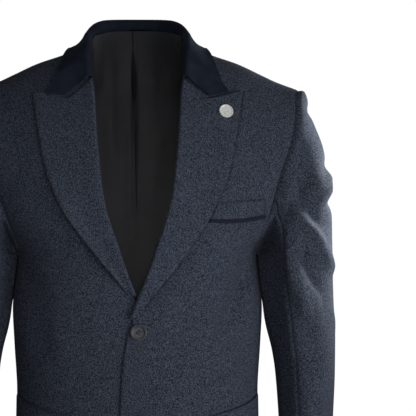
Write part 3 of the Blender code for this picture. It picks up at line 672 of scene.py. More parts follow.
def pressed(x, z, side):
    """How deep a front is pressed in beside the edges of its lapel, its flap and the breast welt."""
    rows = LAPEL_EDGES[side]
    edge, step = along(rows, z), 0.001
    slope = (along(rows, z + step) - along(rows, z - step)) / (2 * step)
    at_lapel = ease(rows[0][0], rows[0][0] + 0.03, z) * ease(-0.066, -0.073, z)
    beside = [((x - edge) / np.sqrt(1 + slope**2), at_lapel)]
    first, last = FLAP_FRONT[0], FLAP_SIDE[0]
    share = np.clip((x - first) / (last - first), 0.0, 1.0) ** (1 / FLAP_CURVE)
    flap_top = mix(FLAP_FRONT[1], FLAP_SIDE[1], np.arcsin(share) * 2 / math.pi)
    beside.append((z - flap_top, ease(first, first + 0.003, x) * ease(last, last - 0.003, x)))
    if side > 0:
        at_welt = ease(0.0, 0.004, x - edge) * ease(0.001, -0.003, x - WELT_END)
        beside.append((z - welt_line(x), at_welt))
    grooves = (part * np.exp(-(((gap - PRESS_OUT) / PRESS_REACH) ** 2)) for gap, part in beside)
    return PRESS_SINK * sum(grooves)


def panel(name, face, side, material):
    """A front or a back of the coat."""
    share = np.minimum(ROW_SHARE, TOP_SHARE)
    first = front_start(share, ROW_LEVEL) if face < 0 else back_start(share, ROW_LEVEL, side)
    last = row_end(share, ROW_LEVEL, face)
    width = along(TORSO, row_z(ROW_SHARE, ROW_LEVEL, last))[0]
    x = spaced(first, last, PANEL_COLUMNS[face], width)
    z = row_z(ROW_SHARE[:, None], ROW_LEVEL[:, None], x)
    flip = face * side > 0
    grid = cloth(x, z, face, side, -pressed(x, z, side) if face < 0 else 0.0)
    at_side = SEAM_SINK * np.exp(-((from_edge(grid, "last") / SEAM_REACH) ** 2))
    below_arm = at_side * (ROW_SHARE == 0)[:, None] * ease(*SIDE_SEAM_Z, z)
    seams = ("top",) if face < 0 else ("top", "first")
    edges = ("bottom", "first", "last") if face < 0 else ("bottom", "last")
    return sheet(name, sewn(grid, flip, seams, edges, rise=-below_arm), TWEED, material, flip)


# ---- sleeves


def armhole(angle):
    """Points of the left armhole seam."""
    z = ARMHOLE_MID_Z + ARMHOLE_HALF_Z * np.cos(angle)
    face = np.where(np.sin(angle) >= 0, -1, 1)
    reach = armhole_reach(z, face)
    x = root(lambda x: depth(x, z, face) - reach, *SIDE_RANGE)
    return point(x, SIDE_Y + face * reach, z)


def ring(angle, key):
    """Points of the left sleeve before its folds; it turns at the front seam and is flatter inside it."""
    in_x, in_z, out_x, out_z, mid_y, half = along(SLEEVE, key)
    lean = (1 + np.cos(angle)) / 2
    inside = np.clip((np.degrees(angle) % 360 - SEAM_FRONT) / (180 - SEAM_FRONT), 0.0, 1.0)
    flat = mix(INNER_FLAT, CUFF_FLAT, ease(*ELBOW, key))
    deep = half * np.sin(angle) * (1 - flat * np.sin(math.pi * inside) ** 2)
    return point(mix(in_x, out_x, lean), mid_y - deep, mix(in_z, out_z, lean))


def sleeve_skin(angle, key):
    """Points of the left sleeve, joined to the armhole and lying close along the body's side."""
    key = key[:, None]
    joined = (1 - ease(0.0, 0.060, key))[..., None]
    found = ring(angle[None, :], key) + (armhole(angle) - ring(angle, np.zeros(1)))[None] * joined
    turn = np.degrees(angle)[None, :] % 360
    hug = ease(ARMPIT_Z + 0.014, ARMPIT_Z - 0.006, found[..., 2])
    for (start, full, leave, clear), place in ((HUG_TURN, turn), (HUG_DOWN, key)):
        hug = hug * ease(start, full, place) * ease(clear, leave, place)
    side_x = along(TORSO, np.minimum(found[..., 2], ARMPIT_Z))[0]
    found[..., 0] = mix(found[..., 0], side_x + HUG_GAP, hug)
    return found


SLEEVE_ROWS = np.concatenate([
    np.linspace(0.0, 0.005, 9)[:-1],
    np.linspace(0.005, 0.03, 12)[:-1],
    np.linspace(0.03, SLEEVE_LONG, 132),
])
SLEEVE_CREASES = {
    1: (SLEEVE_CREASES_LEFT, SLEEVE_DRAWN_LEFT),
    -1: (SLEEVE_CREASES_RIGHT, SLEEVE_DRAWN_RIGHT),
}


def sleeve_fold(angle, down, side):
    """Fold height on a sleeve; a degree of angle counts as a millimetre."""
    short, long = SLEEVE_CREASES[side]
    degree = 0.001
    return sum((
        folds(SLEEVE_FOLDS, angle, down, degree),
        creases(short, angle, down, degree),
        drawn(long, angle, down, degree),
    ))


def sleeve(name, first, last, columns, side, material):
    """One of the two pieces of a sleeve, between two seams given as angles."""
    gap = SEAM / 2 / SLEEVE_MEAN_RADIUS
    angle = mix(first + gap, last - gap, tight_ends(columns))
    grid = sleeve_skin(angle, SLEEVE_ROWS)
    degrees = np.broadcast_to((np.degrees(angle) + 180) % 360 - 180, grid.shape[:2])
    down = np.broadcast_to(SLEEVE_ROWS[:, None], grid.shape[:2])
    tuck = np.exp(-((from_edge(grid, "bottom") / HEAD_REACH) ** 2))
    low = np.maximum(ease(*HEAD_LOW_BACK, degrees), ease(*HEAD_LOW_FRONT, degrees))
    rise = sleeve_fold(degrees, down, side) * ease(0.002, 0.030, down)
    rise = rise - mix(HEAD_SINK, HEAD_LOW_SINK, low) * tuck
    grid = sewn(grid, False, seams=("first", "last"), edges=("top",), rise=rise)
    grid[..., 0] = side * (grid[..., 0] + SLEEVE_GAP - HEAD_TUCK * tuck)
    return sheet(name, grid, TWEED, material, flip=side < 0)


# ---- lapels


def lapel_height(share, up=0.5):
    """How far a lapel's outer face stands off the front, from the roll line to the free edge."""
    return TWEED + LAPEL_REST + LAPEL_EASE * (1 - share) ** 2 * ease(1.0, 0.86, up)


def lapel_place(across, up, side):
    """Distance from the centre and height of places on a lapel."""
    foot, (peak_z, peak_x) = LAPEL_FOOT_Z[side], LAPEL_EDGE[-1]
    roll_z, edge_z = mix(foot, LAPEL_TOP_Z, up), mix(foot, peak_z, up)
    roll_x, edge_x = along(FRONT_EDGE, roll_z), along(LAPEL_EDGES[side], edge_z)
    edge_x = np.maximum(edge_x, roll_x + LAPEL_LEAST)
    top_x = float(along(FRONT_EDGE, LAPEL_TOP_Z))
    notch = (NOTCH[0] - top_x) / (peak_x - top_x)
    dip = NOTCH[1] - SEAM - mix(LAPEL_TOP_Z, peak_z, notch)
    share = np.where(across < notch, across / notch, (1 - across) / (1 - notch))
    return mix(roll_x, edge_x, across), mix(roll_z, edge_z, across) + dip * share * ease(0.55, 1, up)


def lapel_lift(across, up, side):
    """The free edge of a lapel stands off a little, most on its lower half on the right."""
    most = LAPEL_LIFT
    if side < 0:
        most = most + LAPEL_LIFT_RIGHT * ease(0.02, 0.16, up) * ease(0.66, 0.40, up)
    return most * ease(0.35, 1.0, across) ** 2


def lapel(name, side, material):
    """A lapel turned back over its front at the roll line."""
    up = np.unique(np.concatenate([np.linspace(0.0, 1.0, 90), np.linspace(0.975, 1.0, 8)]))[:, None]
    x, z = lapel_place(np.zeros(1), up, side)
    edge = cloth(x, z, -1, side)[:, 0]
    out = unit(cloth(x, z, -1, side, 0.001)[:, 0] - edge)
    x, z = lapel_place(np.full(1, 0.06), up, side)
    away = cloth(x, z, -1, side)[:, 0] - edge
    away = unit(away - out * dot(away, out))
    middle = edge + out * (ROLL_RADIUS - TWEED)
    roll = [middle - out * ROLL_RADIUS + away * ROLL_STRIP]
    for turn in np.linspace(0.0, math.pi, 12):
        roll.append(middle - (out * math.cos(turn) + away * math.sin(turn)) * ROLL_RADIUS)
    across = mix(0.07, 1.0, tight_ends(44))[None, :]
    x, z = lapel_place(across, up, side)
    leaf = cloth(x, z, -1, side, lapel_height(across, up) + lapel_lift(across, up, side))
    grid = np.concatenate([np.stack(roll, axis=1), leaf], axis=1)
    grid = sewn(grid, side < 0, edges=("last", "top"))
    return sheet(name, grid, TWEED, material, flip=side < 0)


# ---- collar


def top_z(x, y):
    """Height of the shoulders' outer face over places in plan."""
    face = np.where(y < ridge_y(x), -1, 1)
    top = ridge_z(x)
    return top - root(lambda fall: (y - skin(x, top - fall, face)[..., 1]) * face, 0.0, 0.19)


def clearance(places):
    """Distance of points near the shoulders from their outer face, and the way out of it."""
    x, y, z = np.moveaxis(places, -1, 0)
    face = np.where(y < ridge_y(x), -1, 1)
    top = top_z(x, y)
    over, beside = outward(np.abs(x), top, face), outward(np.abs(x), z, face)
    is_over = over[..., 2] > 0.5
    out = np.where(is_over[..., None], over, beside)
    gap = np.where(is_over, (z - top) * over[..., 2], (y - skin(x, z, face)[..., 1]) * beside[..., 1])
    return gap, out * np.stack([np.where(x < 0, -1.0, 1.0), np.ones_like(x), np.ones_like(x)], axis=-1)


def clear_of_body(places, gap):
    for _ in range(3):
        found, out = clearance(places)
        places = places + out * np.maximum(gap - found, 0.0)[..., None]
    return places


def collar_lines(key):
    """Fold line and free edge of the collar; keys above 1 are on the wearer's right."""
    side = np.where(key <= 1, 1.0, -1.0)
    fold_x, fold_y, fold_z, edge_x, edge_y = along(COLLAR, np.minimum(key, 2 - key))
    return point(fold_x * side, fold_y, fold_z), point(edge_x * side, edge_y, top_z(edge_x, edge_y))


def collar(name, material):
    """The velvet collar: a stand at the neck, a fold and a leaf that lies on the shoulders."""
    ends = np.linspace(0.0, 0.04, 8)
    key = np.unique(np.concatenate([np.linspace(0.0, 2.0, 150), ends, 2 - ends]))
    near = np.minimum(key, 2 - key)
    fold, edge = collar_lines(key)
    before, after = (collar_lines(np.clip(key + step, 0.0, 2.0))[0] for step in (-0.01, 0.01))
    run = unit(after - before)
    leaf = edge - fold
    leaf = unit(leaf - run * dot(leaf, run))
    out = unit(np.cross(run, -leaf))
    inner = fold - out * ROLL_RADIUS
    down = unit(leaf + unit(np.array([0.0, 0.0, -1.0]) + run * run[:, 2:]))

    def room(s):
        foot = inner + down * s[:, None]
        return np.minimum(clearance(foot)[0], clearance(foot + out * VELVET)[0]) - STAND_REST

    lengths, change = COLLAR_STAND
    longest = mix(*lengths, ease(*change, near))
    shortest = np.full(key.shape, 0.001)
    stand = np.where(room(shortest) > 0, root(room, 0.0, longest), shortest)
    stand = np.maximum(stand, shortest)
    row = [inner + down * (stand * share)[:, None] for share in (1.0, 0.93, 0.8, 0.6, 0.4, 0.2)]
    for turn in np.linspace(0.0, math.pi, 14):
        row.append(fold - (out * math.cos(turn) + leaf * math.sin(turn)) * ROLL_RADIUS)
    end = clear_of_body(edge, VELVET + COLLAR_REST)
    start = row[-1]
    dip = NOTCH[1] - mix(start[:, 2], end[:, 2], COLLAR_NOTCH)
    crown, crown_grows = COLLAR_CROWN
    hollow, hollow_grows, hollow_ends = COLLAR_HOLLOW
    bow = crown * ease(*crown_grows, near) - hollow * ease(*hollow_grows, near) * ease(*hollow_ends, near)
    for share in mix(0.03, 1.0, tight_ends(34)):
        place = mix(start, end, share) + out * (bow * math.sin(math.pi * share))[:, None]
        part = share / COLLAR_NOTCH if share < COLLAR_NOTCH else (1 - share) / (1 - COLLAR_NOTCH)
        place[:, 2] += dip * max(part, 0.0) * (1 - ease(0.0, COLLAR_NOTCH_LONG, near))
        row.append(clear_of_body(place, VELVET + COLLAR_REST))
    grid = sewn(np.stack(row, axis=1), True, edges=("last", "top", "bottom"))
    return sheet(name, grid, VELVET, material, flip=True)


# ---- lining


def lining_top(x):
    """Height of the lining's upper edge, below the neckline and the shoulder line."""
    lower, begins = LINING_LOWER
    return ridge_z(x) - LINING_BELOW - lower * ease(*begins, np.abs(x))


def lining_slack(x, z):
    """How far the lining hangs in from the back, with a pleat down the middle."""
    slack = LINING_SLACK * ease(*LINING_SLACK_Z, z) * ease(*LINING_SLACK_X, np.abs(x - PLEAT_X))
    share, half, begins = PLEAT_FURROW
    furrow = share * ease(*begins, z) * np.exp(-(((x - PLEAT_X) / half) ** 2))
    return slack * (1 - furrow) + creases(LINING_CREASES, x, z) * ease(*LINING_CREASE_Z, z)


def neck_inside(x):
    """Upper edge of the lining against the inside of the collar."""
    half, deep, high, low = NECK_INSIDE
    part = np.minimum(np.abs(x) / half, 1.0)
    return point(x, SIDE_Y + deep * (1 - part**SQUARE) ** (1 / SQUARE), mix(high, low, part**4))


def lining(name, material):
    """The lining of the back, which hangs inside it from the collar."""
    low = np.linspace(HEM_Z + LINING_HEM, ARMPIT_Z, 70)
    high = 1 - np.linspace(1.0, 0.0, 70)[1:] ** 1.4
    share = np.concatenate([np.zeros(len(low)), high])
    level = np.concatenate([low, np.full(len(high), ARMPIT_Z)])
    reach = row_end(np.minimum(share, 0.97), level, 1)[:, None] - LINING_INSET
    sides = np.linspace(0.09, 1.0, 40)
    pleat = np.tile(PLEAT_X + np.linspace(-0.0085, 0.0085, 21), (len(share), 1))
    x = np.concatenate([-reach * sides[::-1], pleat, reach * sides], axis=1)
    share, level = share[:, None], level[:, None]
    z = row_z(share, level, x, lining_top)
    inside = TWEED + LINING_REST + lining_slack(x, z)
    back = skin(np.abs(x), z, 1) - outward(np.abs(x), z, 1) * inside[..., None]
    back[..., 0] *= np.where(x < 0, -1.0, 1.0)
    at_neck = ease(0.80, 1.0, share) * ease(NECK_INSIDE[0] + 0.014, NECK_INSIDE[0], np.abs(x))
    grid = mix(back, neck_inside(x), at_neck[..., None])
    return sheet(name, grid, LINING, material)


# ---- pockets


def patch(name, across, down, place, side, material, swell=0.0):
    """A piece that lies on a front, from its share across and down to the place on the front."""
    across, down = across[None, :], down[::-1, None]
    x, z = place(across, down)
    crown = swell * np.sqrt(np.maximum(0.0, 1 - (2 * down - 1) ** 2)) + 0 * across
    grid = cloth(x, z, -1, side, 2 * REST + PATCH + crown)
    grid = sewn(grid, side < 0, edges=("first", "last", "top", "bottom"))
    return sheet(name, grid, PATCH, material, flip=side < 0)


def welt_line(x):
    """Height of the welt's slanted upper edge."""
    return WELT_TOP_Z + WELT_SLOPE * (x - WELT_MIDDLE)


def below_welt_top(share, fall, lowered):
    """Places from the lapel to the welt's end, some way below the welt's upper edge."""
    first = along(LAPEL_EDGE, WELT_TOP_Z - lowered) + WELT_FROM_LAPEL
    x = mix(first, WELT_END, share)
    return x, welt_line(x) - fall


def welt_place(share, low):
    """The welt's lower edge sags in the middle."""
    fall = (WELT_HIGH + WELT_SAG * np.sin(math.pi * share)) * low
    return below_welt_top(share, fall, WELT_HIGH * low)


def piping_place(share, low):
    """The piping follows the welt's lower edge."""
    fall = WELT_HIGH + SEAM + PIPING_HIGH * low
    return below_welt_top(share, fall + WELT_SAG * np.sin(math.pi * share), fall)


def welt_stitches(name, thread):
    """A row of stitches that holds down the outer end of the welt."""
    x = np.full(3, WELT_END - 0.0010)
    runs = []
    for low in np.arange(0.02, 1.15, 0.19):
        z = welt_line(x) - WELT_HIGH * (low + np.array([0.0, 0.08, 0.16]))
        spots = cloth(x, z, -1, 1, 2 * REST + PATCH + np.array([0.0, 0.0004, 0.0]))
        runs.append([Vector(spot) for spot in spots])
    return thread_runs(name, runs, STITCH_RADIUS, Matrix.Identity(4), thread)


def flap_place(share, low):
    """A flap slants up towards the side seam and has rounded lower corners."""
    x = mix(FLAP_FRONT[0], FLAP_SIDE[0], np.sin(share * math.pi / 2) ** FLAP_CURVE)
    top = mix(FLAP_FRONT[1], FLAP_SIDE[1], share)
    reach, rise = FLAP_CORNER
    corner = np.maximum(0.0, np.abs(share - 0.5) * 2 - 1 + reach) / reach
    return x + 0 * low, top - (FLAP_HIGH - rise * corner**2) * low


# ---- buttons and pin


def seat(x, z, out):
    """Where a turned piece sits on the left front, square to it and that far out."""
    x, z = np.array([x]), np.array([z])
    foot = Vector(cloth(x, z, -1, 1, out)[0])
    up = (Vector(cloth(x, z, -1, 1, out + 0.001)[0]) - foot).normalized()
    side = Vector((0, 0, 1)).cross(up).normalized()
    return Matrix.Translation(foot) @ Matrix((side, up.cross(side), up)).transposed().to_4x4()


def turned(profile, steps):
    """A mesh turned about Z from a profile of radius and height, top to bottom."""
    build = bmesh.new()
    turns = [2 * math.pi * step / steps for step in range(steps)]
    rings = []
    for radius, height in profile:
        ways = [(math.cos(turn), math.sin(turn)) for turn in (turns if radius > 0 else turns[:1])]
        rings.append([build.verts.new((radius * x, radius * y, height)) for x, y in ways])
    for upper, lower in zip(rings[:-1], rings[1:]):
        for here, after in zip(range(steps), [*range(1, steps), 0]):
            around = (upper, here), (lower, here), (lower, after), (upper, after)
            corners = [ring[step % len(ring)] for ring, step in around]
            # At the middle two corners are one, and the face is a triangle
            build.faces.new(list(dict.fromkeys(corners))).smooth = True
    return build


def finished(name, build, place, material):
    """A built mesh moved to its place on the coat."""
    build.transform(place)
    mesh = bpy.data.meshes.new(name)
    build.to_mesh(mesh)
    build.free()
    return added(name, mesh, material)


def rounded(profile, times=2):
    """A profile with its corners cut again and again, so that it turns softly."""
    for _ in range(times):
        cut = [profile[0]]
        for a, b in zip(profile[:-1], profile[1:]):
            cut += [tuple(mix(p, q, share) for p, q in zip(a, b)) for share in (0.25, 0.75)]
        profile = cut + [profile[-1]]
    return profile


def front_button(number, z, resin, thread):
    """A turned button with a raised rim and four holes, and the thread that crosses between them."""
    r, t = BUTTON_RADIUS, BUTTON_THICK
    profile = rounded([
        (0.0, t * 0.70), (r * 0.60, t * 0.70), (r * 0.70, t * 0.78), (r * 0.78, t), (r * 0.96, t),
        (r, t * 0.72), (r, t * 0.30), (r * 0.90, 0.0), (0.0, 0.0),
    ])
    place = seat(BUTTON_X, z, REST)
    button = finished(f"front_button_{number}_turned", turned(profile, 48), place, resin)
    drill = bmesh.new()
    for quarter in range(4):
        turn = Matrix.Rotation(math.radians(90 * quarter), 4, "Z")
        bmesh.ops.create_cone(
            drill, cap_ends=True, segments=16, radius1=BUTTON_HOLE, radius2=BUTTON_HOLE, depth=0.02,
            matrix=turn @ Matrix.Translation((BUTTON_HOLE_OUT, 0.0, 0.0)),
        )
    cutter = finished(f"drills_{number}", drill, place, resin)
    holes = button.modifiers.new("holes", "BOOLEAN")
    holes.operation, holes.solver, holes.object = "DIFFERENCE", "EXACT", cutter
    bpy.context.view_layer.update()
    cut = bpy.data.meshes.new_from_object(button.evaluated_get(bpy.context.evaluated_depsgraph_get()))
    button.modifiers.clear()
    button.data = cut
    bpy.data.objects.remove(cutter)
    belongs(button, f"front_button_{number}")

    runs = []
    for first, last in (((1, 0), (0, 1)), ((-1, 0), (0, -1))):
        for out in (BUTTON_HOLE_OUT - THREAD_RADIUS, BUTTON_HOLE_OUT + THREAD_RADIUS):
            a, b = (Vector((out * hole[0], out * hole[1], t * 0.42)) for hole in (first, last))
            high = Vector((0, 0, t * 0.32))
            runs.append([a, a.lerp(b, 0.16) + high, a.lerp(b, 0.84) + high, b])
    belongs(thread_runs(f"button_thread_{number}", runs, THREAD_RADIUS, place, thread))


def thread_runs(name, runs, radius, place, material):
    """Short lengths of thread as one piece."""
    curve = bpy.data.curves.new(name, "CURVE")
    curve.dimensions = "3D"
    curve.bevel_depth = radius
    curve.bevel_resolution = 2
    curve.resolution_u = 4
    curve.use_fill_caps = True
    for run in runs:
        spline = curve.splines.new("BEZIER")
        spline.bezier_points.add(len(run) - 1)
        for knot, spot in zip(spline.bezier_points, run):
            knot.co = place @ spot
            knot.handle_left_type = knot.handle_right_type = "AUTO"
    return added(name, curve, material)


def lapel_pin(metal):
    """A plain round pin head with a raised rim, on the left lapel."""
    r, t = PIN_RADIUS, PIN_THICK
    profile = rounded([
        (0.0, t * 0.62), (r * 0.40, t * 0.60), (r * 0.70, t * 0.54), (r * 0.78, t * 0.60), (r * 0.84, t),
        (r * 0.95, t), (r, t * 0.66), (r, t * 0.30), (r * 0.94, 0.0), (0.0, 0.0),
    ])
    lift = float(lapel_height(0.8)) + REST
    pin = finished("lapel_pin_turned", turned(profile, 56), seat(PIN_X, PIN_Z, lift), metal)
    return belongs(pin, "lapel_pin")


# ---- materials


class Value:
    """One socket of a material's nodes. Sums and products on it add Math nodes."""

    def __init__(self, tree, socket):
        self.tree, self.socket = tree, socket

    def put(self, kind, settings=None, sockets=None, output=0):
        """Adds a node, sets it up, then fills or links its sockets by name or number."""
        node = self.tree.nodes.new(kind)
        for name, setting in (settings or {}).items():
            setattr(node, name, setting)
        for name, value in (sockets or {}).items():
            if isinstance(value, Value):
                self.tree.links.new(value.socket, node.inputs[name])
            else:
                node.inputs[name].default_value = value
        return Value(self.tree, node.outputs[output] if node.outputs else None)

    def sum(self, operation, first, second=0.0):
        return self.put("ShaderNodeMath", {"operation": operation}, {0: first, 1: second})

    def __add__(self, other):
        return self.sum("ADD", self, other)

    def __sub__(self, other):
        return self.sum("SUBTRACT", self, other)

    def __rsub__(self, other):
        return self.sum("SUBTRACT", other, self)

    def __mul__(self, other):
        return self.sum("MULTIPLY", self, other)

    __radd__ = __add__
    __rmul__ = __mul__

    def step(self, low, high):
        """A soft step from 0 to 1 between two values."""
        ends = {"Value": self, "From Min": low, "From Max": high}
        return self.put("ShaderNodeMapRange", {"interpolation_type": "SMOOTHSTEP"}, ends)

    def blend(self, first, second):
        """One colour where the value is 0 and another where it is 1."""
        return self.put("ShaderNodeMix", {"data_type": "RGBA"}, {0: self, 6: first, 7: second}, output=2)


def start_material(name):
    """An empty material, and a value to build its nodes from."""
    material = bpy.data.materials.new(name)
    material.use_nodes = True
    material.node_tree.nodes.clear()
    return material, Value(material.node_tree, None)


def close_material(nodes, sockets):
    """Adds the material's one shader and its output."""
    shader = nodes.put("ShaderNodeBsdfPrincipled", None, sockets)
    nodes.put("ShaderNodeOutputMaterial", None, {"Surface": shader})


def colour(red, green, blue):
    return (red, green, blue, 1.0)


def noise(nodes, where, size, detail=2.0, rough=0.5):
    """Soft random grain of about that size in metres, from 0 to 1."""
    return nodes.put(
        "ShaderNodeTexNoise", {"noise_dimensions": "3D"},
        {"Vector": where, "Scale": 1 / size, "Detail": detail, "Roughness": rough},
    )


def stretched(nodes, where, size):
    """The cloth's own map drawn out to other sizes along and across the yarn."""
    return nodes.put("ShaderNodeVectorMath", {"operation": "MULTIPLY"}, {0: where, 1: size})


def in_space(nodes):
    return nodes.put("ShaderNodeTexCoord", output=3)


def on_cloth(nodes):
    return nodes.put("ShaderNodeTexCoord", output=2)


def bumped(nodes, height, strength, distance):
    return nodes.put("ShaderNodeBump", None, {"Strength": strength, "Distance": distance, "Height": height})


def tweed_cloth():
    """Charcoal-navy wool tweed: a mottled dark ground, pale flecks and a twill under a short nap."""
    material, nodes = start_material("salt and pepper tweed")
    space, cloth_map = in_space(nodes), on_cloth(nodes)
    fleck = noise(nodes, space, 0.0015, 1.0, 0.5)
    hair = noise(nodes, space, 0.0007, 1.0, 0.5)
    yarn = noise(nodes, stretched(nodes, cloth_map, (760.0, 300.0, 1.0)), 1.0, 1.0, 0.5)
    mottle = noise(nodes, space, 0.026, 2.0, 0.5)
    salt = fleck * 0.56 + hair * 0.22 + yarn * 0.22
    ground = mottle.step(0.25, 0.75).blend(colour(0.0100, 0.0135, 0.0215), colour(0.0130, 0.0170, 0.0265))
    tweed = salt.step(0.41, 0.61).blend(ground, colour(0.078, 0.092, 0.128))
    bands = {"wave_type": "BANDS", "bands_direction": "DIAGONAL", "wave_profile": "SIN"}
    twist = {"Scale": 165.0, "Distortion": 1.2, "Detail": 1.0, "Detail Scale": 2.0}
    twill = nodes.put("ShaderNodeTexWave", bands, {"Vector": cloth_map} | twist, output=1)
    height = salt * 0.7 + twill * 0.3
    close_material(nodes, {
        "Base Color": tweed,
        "Roughness": 0.96 - 0.10 * salt,
        "Normal": bumped(nodes, height, 0.45, 0.0006),
        "Specular IOR Level": 0.08,
        "Sheen Weight": 0.025,
        "Sheen Roughness": 0.45,
        "Sheen Tint": colour(0.85, 0.86, 0.90),
    })
    return material


def collar_velvet():
    """Dark navy velvet with a short pile that leans this way and that."""
    material, nodes = start_material("navy velvet")
    space = in_space(nodes)
    pile = noise(nodes, space, 0.0009, 2.0, 0.6)
    brushed = noise(nodes, space, 0.016, 2.0, 0.5)
    lean = brushed * 0.6 + pile * 0.4
    navy = colour(0.0095, 0.0126, 0.0212), colour(0.0185, 0.0242, 0.0392)
    close_material(nodes, {
        "Base Color": lean.step(0.30, 0.72).blend(*navy),
        "Roughness": 0.82 + 0.14 * pile,
        "Normal": bumped(nodes, pile * 0.6 + brushed * 0.4, 0.35, 0.0008),
        "Specular IOR Level": 0.08,
        "Sheen Weight": 0.06,
        "Sheen Roughness": 0.35,
        "Sheen Tint": colour(0.42, 0.56, 0.85),
    })
    return material


def lining_satin():
    """Black satin-weave lining with fine upright threads, a soft shine and a painted shadow down its open
    pleat.
    """
    material, nodes = start_material("black lining")
    space, cloth_map = in_space(nodes), on_cloth(nodes)
    thread = noise(nodes, stretched(nodes, cloth_map, (1400.0, 90.0, 1.0)), 1.0, 1.0, 0.5)
    cloud = noise(nodes, space, 0.045, 2.0, 0.5)
    tone = thread * 0.5 + cloud * 0.5
    satin = tone.step(0.30, 0.70).blend(colour(0.0270, 0.0276, 0.0316), colour(0.0390, 0.0400, 0.0455))
    # Painted shade: along the pleat's line the lining's colour goes near black, and wider where the pleat
    # gapes near the top.
    x, z = (nodes.put("ShaderNodeSeparateXYZ", None, {0: space}, output=i) for i in (0, 2))
    middle, tall, wide = PLEAT_SHADOW_GAPE
    level = (z - middle) * (1 / tall)
    shadow_gape = nodes.sum("MAXIMUM", 1 - level * level, 0.0) * wide
    aside = nodes.sum("ABSOLUTE", x - PLEAT_X + (z - PLEAT_Z) * PLEAT_LEAN)
    pleat_shadow = (shadow_gape + PLEAT_SHADOW_HALF - aside).step(-0.0005, 0.0005) * z.step(PLEAT_FOOT, PLEAT_FOOT + 0.02)
    close_material(nodes, {
        "Base Color": pleat_shadow.blend(satin, colour(0.0012, 0.0012, 0.0014)),
        "Roughness": 0.50 + 0.16 * thread,
        "Normal": bumped(nodes, thread, 0.12, 0.0002),
        "Specular IOR Level": 0.30,
        "Sheen Weight": 0.06,
    })
    return material


def grained(name, tone, span, colours, grain, roughness, bump=None, more=None):
    """A finish of two colours mixed by a tone, with a finer grain that roughens and bumps it."""
    material, nodes = start_material(name)
    space = in_space(nodes)
    fine = noise(nodes, space, *grain)
    sockets = {
        "Base Color": noise(nodes, space, *tone).step(*span).blend(*colours),
        "Roughness": roughness[0] + roughness[1] * fine,
    }
    if bump:
        sockets["Normal"] = bumped(nodes, fine, *bump)
    close_material(nodes, sockets | (more or {}))
    return material


def navy_piping():
    grain = (0.0010, 2.0, 0.6)
    navy = colour(0.0080, 0.0105, 0.0195), colour(0.0175, 0.0222, 0.0390)
    gloss = {"Specular IOR Level": 0.10, "Sheen Weight": 0.02}
    return grained("navy piping", grain, (0.30, 0.75), navy, grain, (0.72, 0.14), (0.30, 0.0005), gloss)


def button_resin():
    cloud, scratch = (0.0060, 3.0, 0.6), (0.0006, 2.0, 0.5)
    greys = colour(0.014, 0.016, 0.022), colour(0.042, 0.046, 0.058)
    return grained("cloudy grey resin", cloud, (0.30, 0.72), greys, scratch, (0.30, 0.16), (0.05, 0.0002))


def sewing_thread():
    twist = (0.0004, 1.0, 0.5)
    blacks = colour(0.0060, 0.0065, 0.0085), colour(0.0150, 0.0165, 0.0220)
    return grained("dark sewing thread", twist, (0.3, 0.7), blacks, twist, (0.70, 0.15), (0.25, 0.0002))


def pin_metal():
    tarnish, brush = (0.0030, 2.0, 0.5), (0.0007, 3.0, 0.6)
    pale = colour(0.84, 0.86, 0.81), colour(0.64, 0.66, 0.61)
    name, metal = "brushed pale metal", {"Metallic": 0.15}
    return grained(name, tarnish, (0.35, 0.75), pale, brush, (0.42, 0.18), (0.10, 0.0002), metal)


def pale_floor():
    grain = (0.4, 2.0, 0.5)
    whites = colour(0.84, 0.84, 0.84), colour(0.88, 0.88, 0.88)
    return grained("pale floor", grain, (0.2, 0.8), whites, grain, (0.75, 0.05))


# ---- light, floor and camera

CAMERA_PLACE = (0.0, -3.5, -0.236)
CAMERA_AIM = (0.1015, 0.0, -0.236)
HALF_ANGLE = 0.08558
FLOOR_Z = -1.42
FLOOR_RADIUS = 1.8
CHEST = (0.08, 0.0, -0.26)
# Soft lights: place, aim, side, watts, and a beam in degrees that a grid narrows
LIGHTS = {
    "key from the right": ((2.07, -1.67, -0.75), CHEST, 1.2, 28.0, 180.0),
    "front light": ((1.68, -3.00, -0.60), CHEST, 1.4, 15.0, 180.0),
    "fill light": ((0.22, -3.39, -0.30), CHEST, 1.2, 15.0, 180.0),
    "neck light": ((0.05, -3.20, 0.90), (-0.01, 0.09, -0.28), 0.3, 0.062, 10.0),
    "rim light": ((1.25, 0.60, -0.06), (0.27, 0.0, -0.215), 0.3, 1.15, 21.0),
}
# White backdrop: its strength as a light, and as it is seen
BACKDROP = (0.10, 1.02)


def aimed(name, data, place, aim):
    """A camera or a lamp at a place, turned towards another."""
    thing = bpy.data.objects.new(name, data)
    thing.location = place
    thing.rotation_euler = (Vector(aim) - Vector(place)).to_track_quat("-Z", "Y").to_euler()
    bpy.context.scene.collection.objects.link(thing)
    return thing


def camera():
    data = bpy.data.cameras.new("camera")
    data.angle = 2 * math.atan(HALF_ANGLE)
    data.clip_end = 100.0
    bpy.context.scene.camera = aimed("camera", data, CAMERA_PLACE, CAMERA_AIM)


def softbox(name, place, aim, size, watts, beam):
    data = bpy.data.lights.new(name, "AREA")
    data.shape, data.size, data.energy = "SQUARE", size, watts
    data.spread = math.radians(beam)
    aimed(name, data, place, aim)


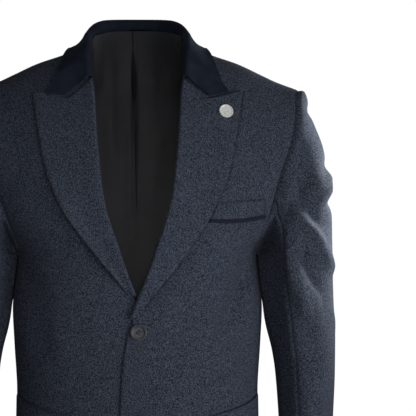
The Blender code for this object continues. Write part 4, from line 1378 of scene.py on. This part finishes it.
def studio():
    """White backdrop, soft light from the viewer's right and front, and a pale floor."""
    scene = bpy.context.scene
    scene.view_settings.view_transform = "Standard"
    world = bpy.data.worlds.new("white studio")
    scene.world = world
    world.use_nodes = True
    world.node_tree.nodes.clear()
    nodes = Value(world.node_tree, None)
    seen = nodes.put("ShaderNodeLightPath")
    strength = BACKDROP[0] + (BACKDROP[1] - BACKDROP[0]) * seen
    light = nodes.put("ShaderNodeBackground", None, {"Color": colour(1, 1, 1), "Strength": strength})
    nodes.put("ShaderNodeOutputWorld", None, {"Surface": light})
    for name, settings in LIGHTS.items():
        softbox(name, *settings)
    build = bmesh.new()
    bmesh.ops.create_circle(build, cap_ends=True, segments=96, radius=FLOOR_RADIUS)
    finished("floor", build, Matrix.Translation((0, 0, FLOOR_Z)), pale_floor())


# ---- the coat


SIDES = (("left", 1), ("right", -1))


def tailored(piece):
    """A cloth piece, which stands for the solid that it is named after."""
    belongs(piece, piece.name.removesuffix("_cloth"))


def body_and_sleeves(tweed):
    front_seam, back_seam = math.radians(SEAM_FRONT), math.radians(SEAM_BACK)
    for word, side in SIDES:
        front = panel(f"front_{word}_cloth", -1, side, tweed)
        tailored(front)
        back = panel(f"back_{word}_cloth", 1, side, tweed)
        tailored(back)
        upper = sleeve(f"sleeve_upper_{word}_cloth", back_seam, front_seam, 76, side, tweed)
        tailored(upper)
        under = sleeve(f"sleeve_under_{word}_cloth", front_seam, back_seam + 2 * math.pi, 44, side, tweed)
        tailored(under)


def neck(tweed, velvet, satin):
    for word, side in SIDES:
        leaf = lapel(f"lapel_{word}_cloth", side, tweed)
        tailored(leaf)
    fold = collar("collar_cloth", velvet)
    tailored(fold)
    hanging = lining("lining_back_cloth", satin)
    tailored(hanging)


def pockets(tweed, piping, thread):
    wide = tight_ends(48)
    welt = patch("breast_welt_cloth", wide, tight_ends(16), welt_place, 1, tweed)
    tailored(welt)
    cord = patch("breast_piping_cord", wide, tight_ends(14), piping_place, 1, piping, swell=PIPING_SWELL)
    belongs(cord, "breast_piping")
    belongs(welt_stitches("welt_end_stitches", thread))
    for word, side in SIDES:
        flap = patch(f"pocket_flap_{word}_cloth", tight_ends(60), tight_ends(34), flap_place, side, tweed)
        tailored(flap)


def coat():
    tweed, thread, resin = tweed_cloth(), sewing_thread(), button_resin()
    body_and_sleeves(tweed)
    neck(tweed, collar_velvet(), lining_satin())
    pockets(tweed, navy_piping(), thread)
    for number, z in enumerate(BUTTON_Z, 1):
        front_button(number, z, resin, thread)
    lapel_pin(pin_metal())


camera()
studio()
coat()
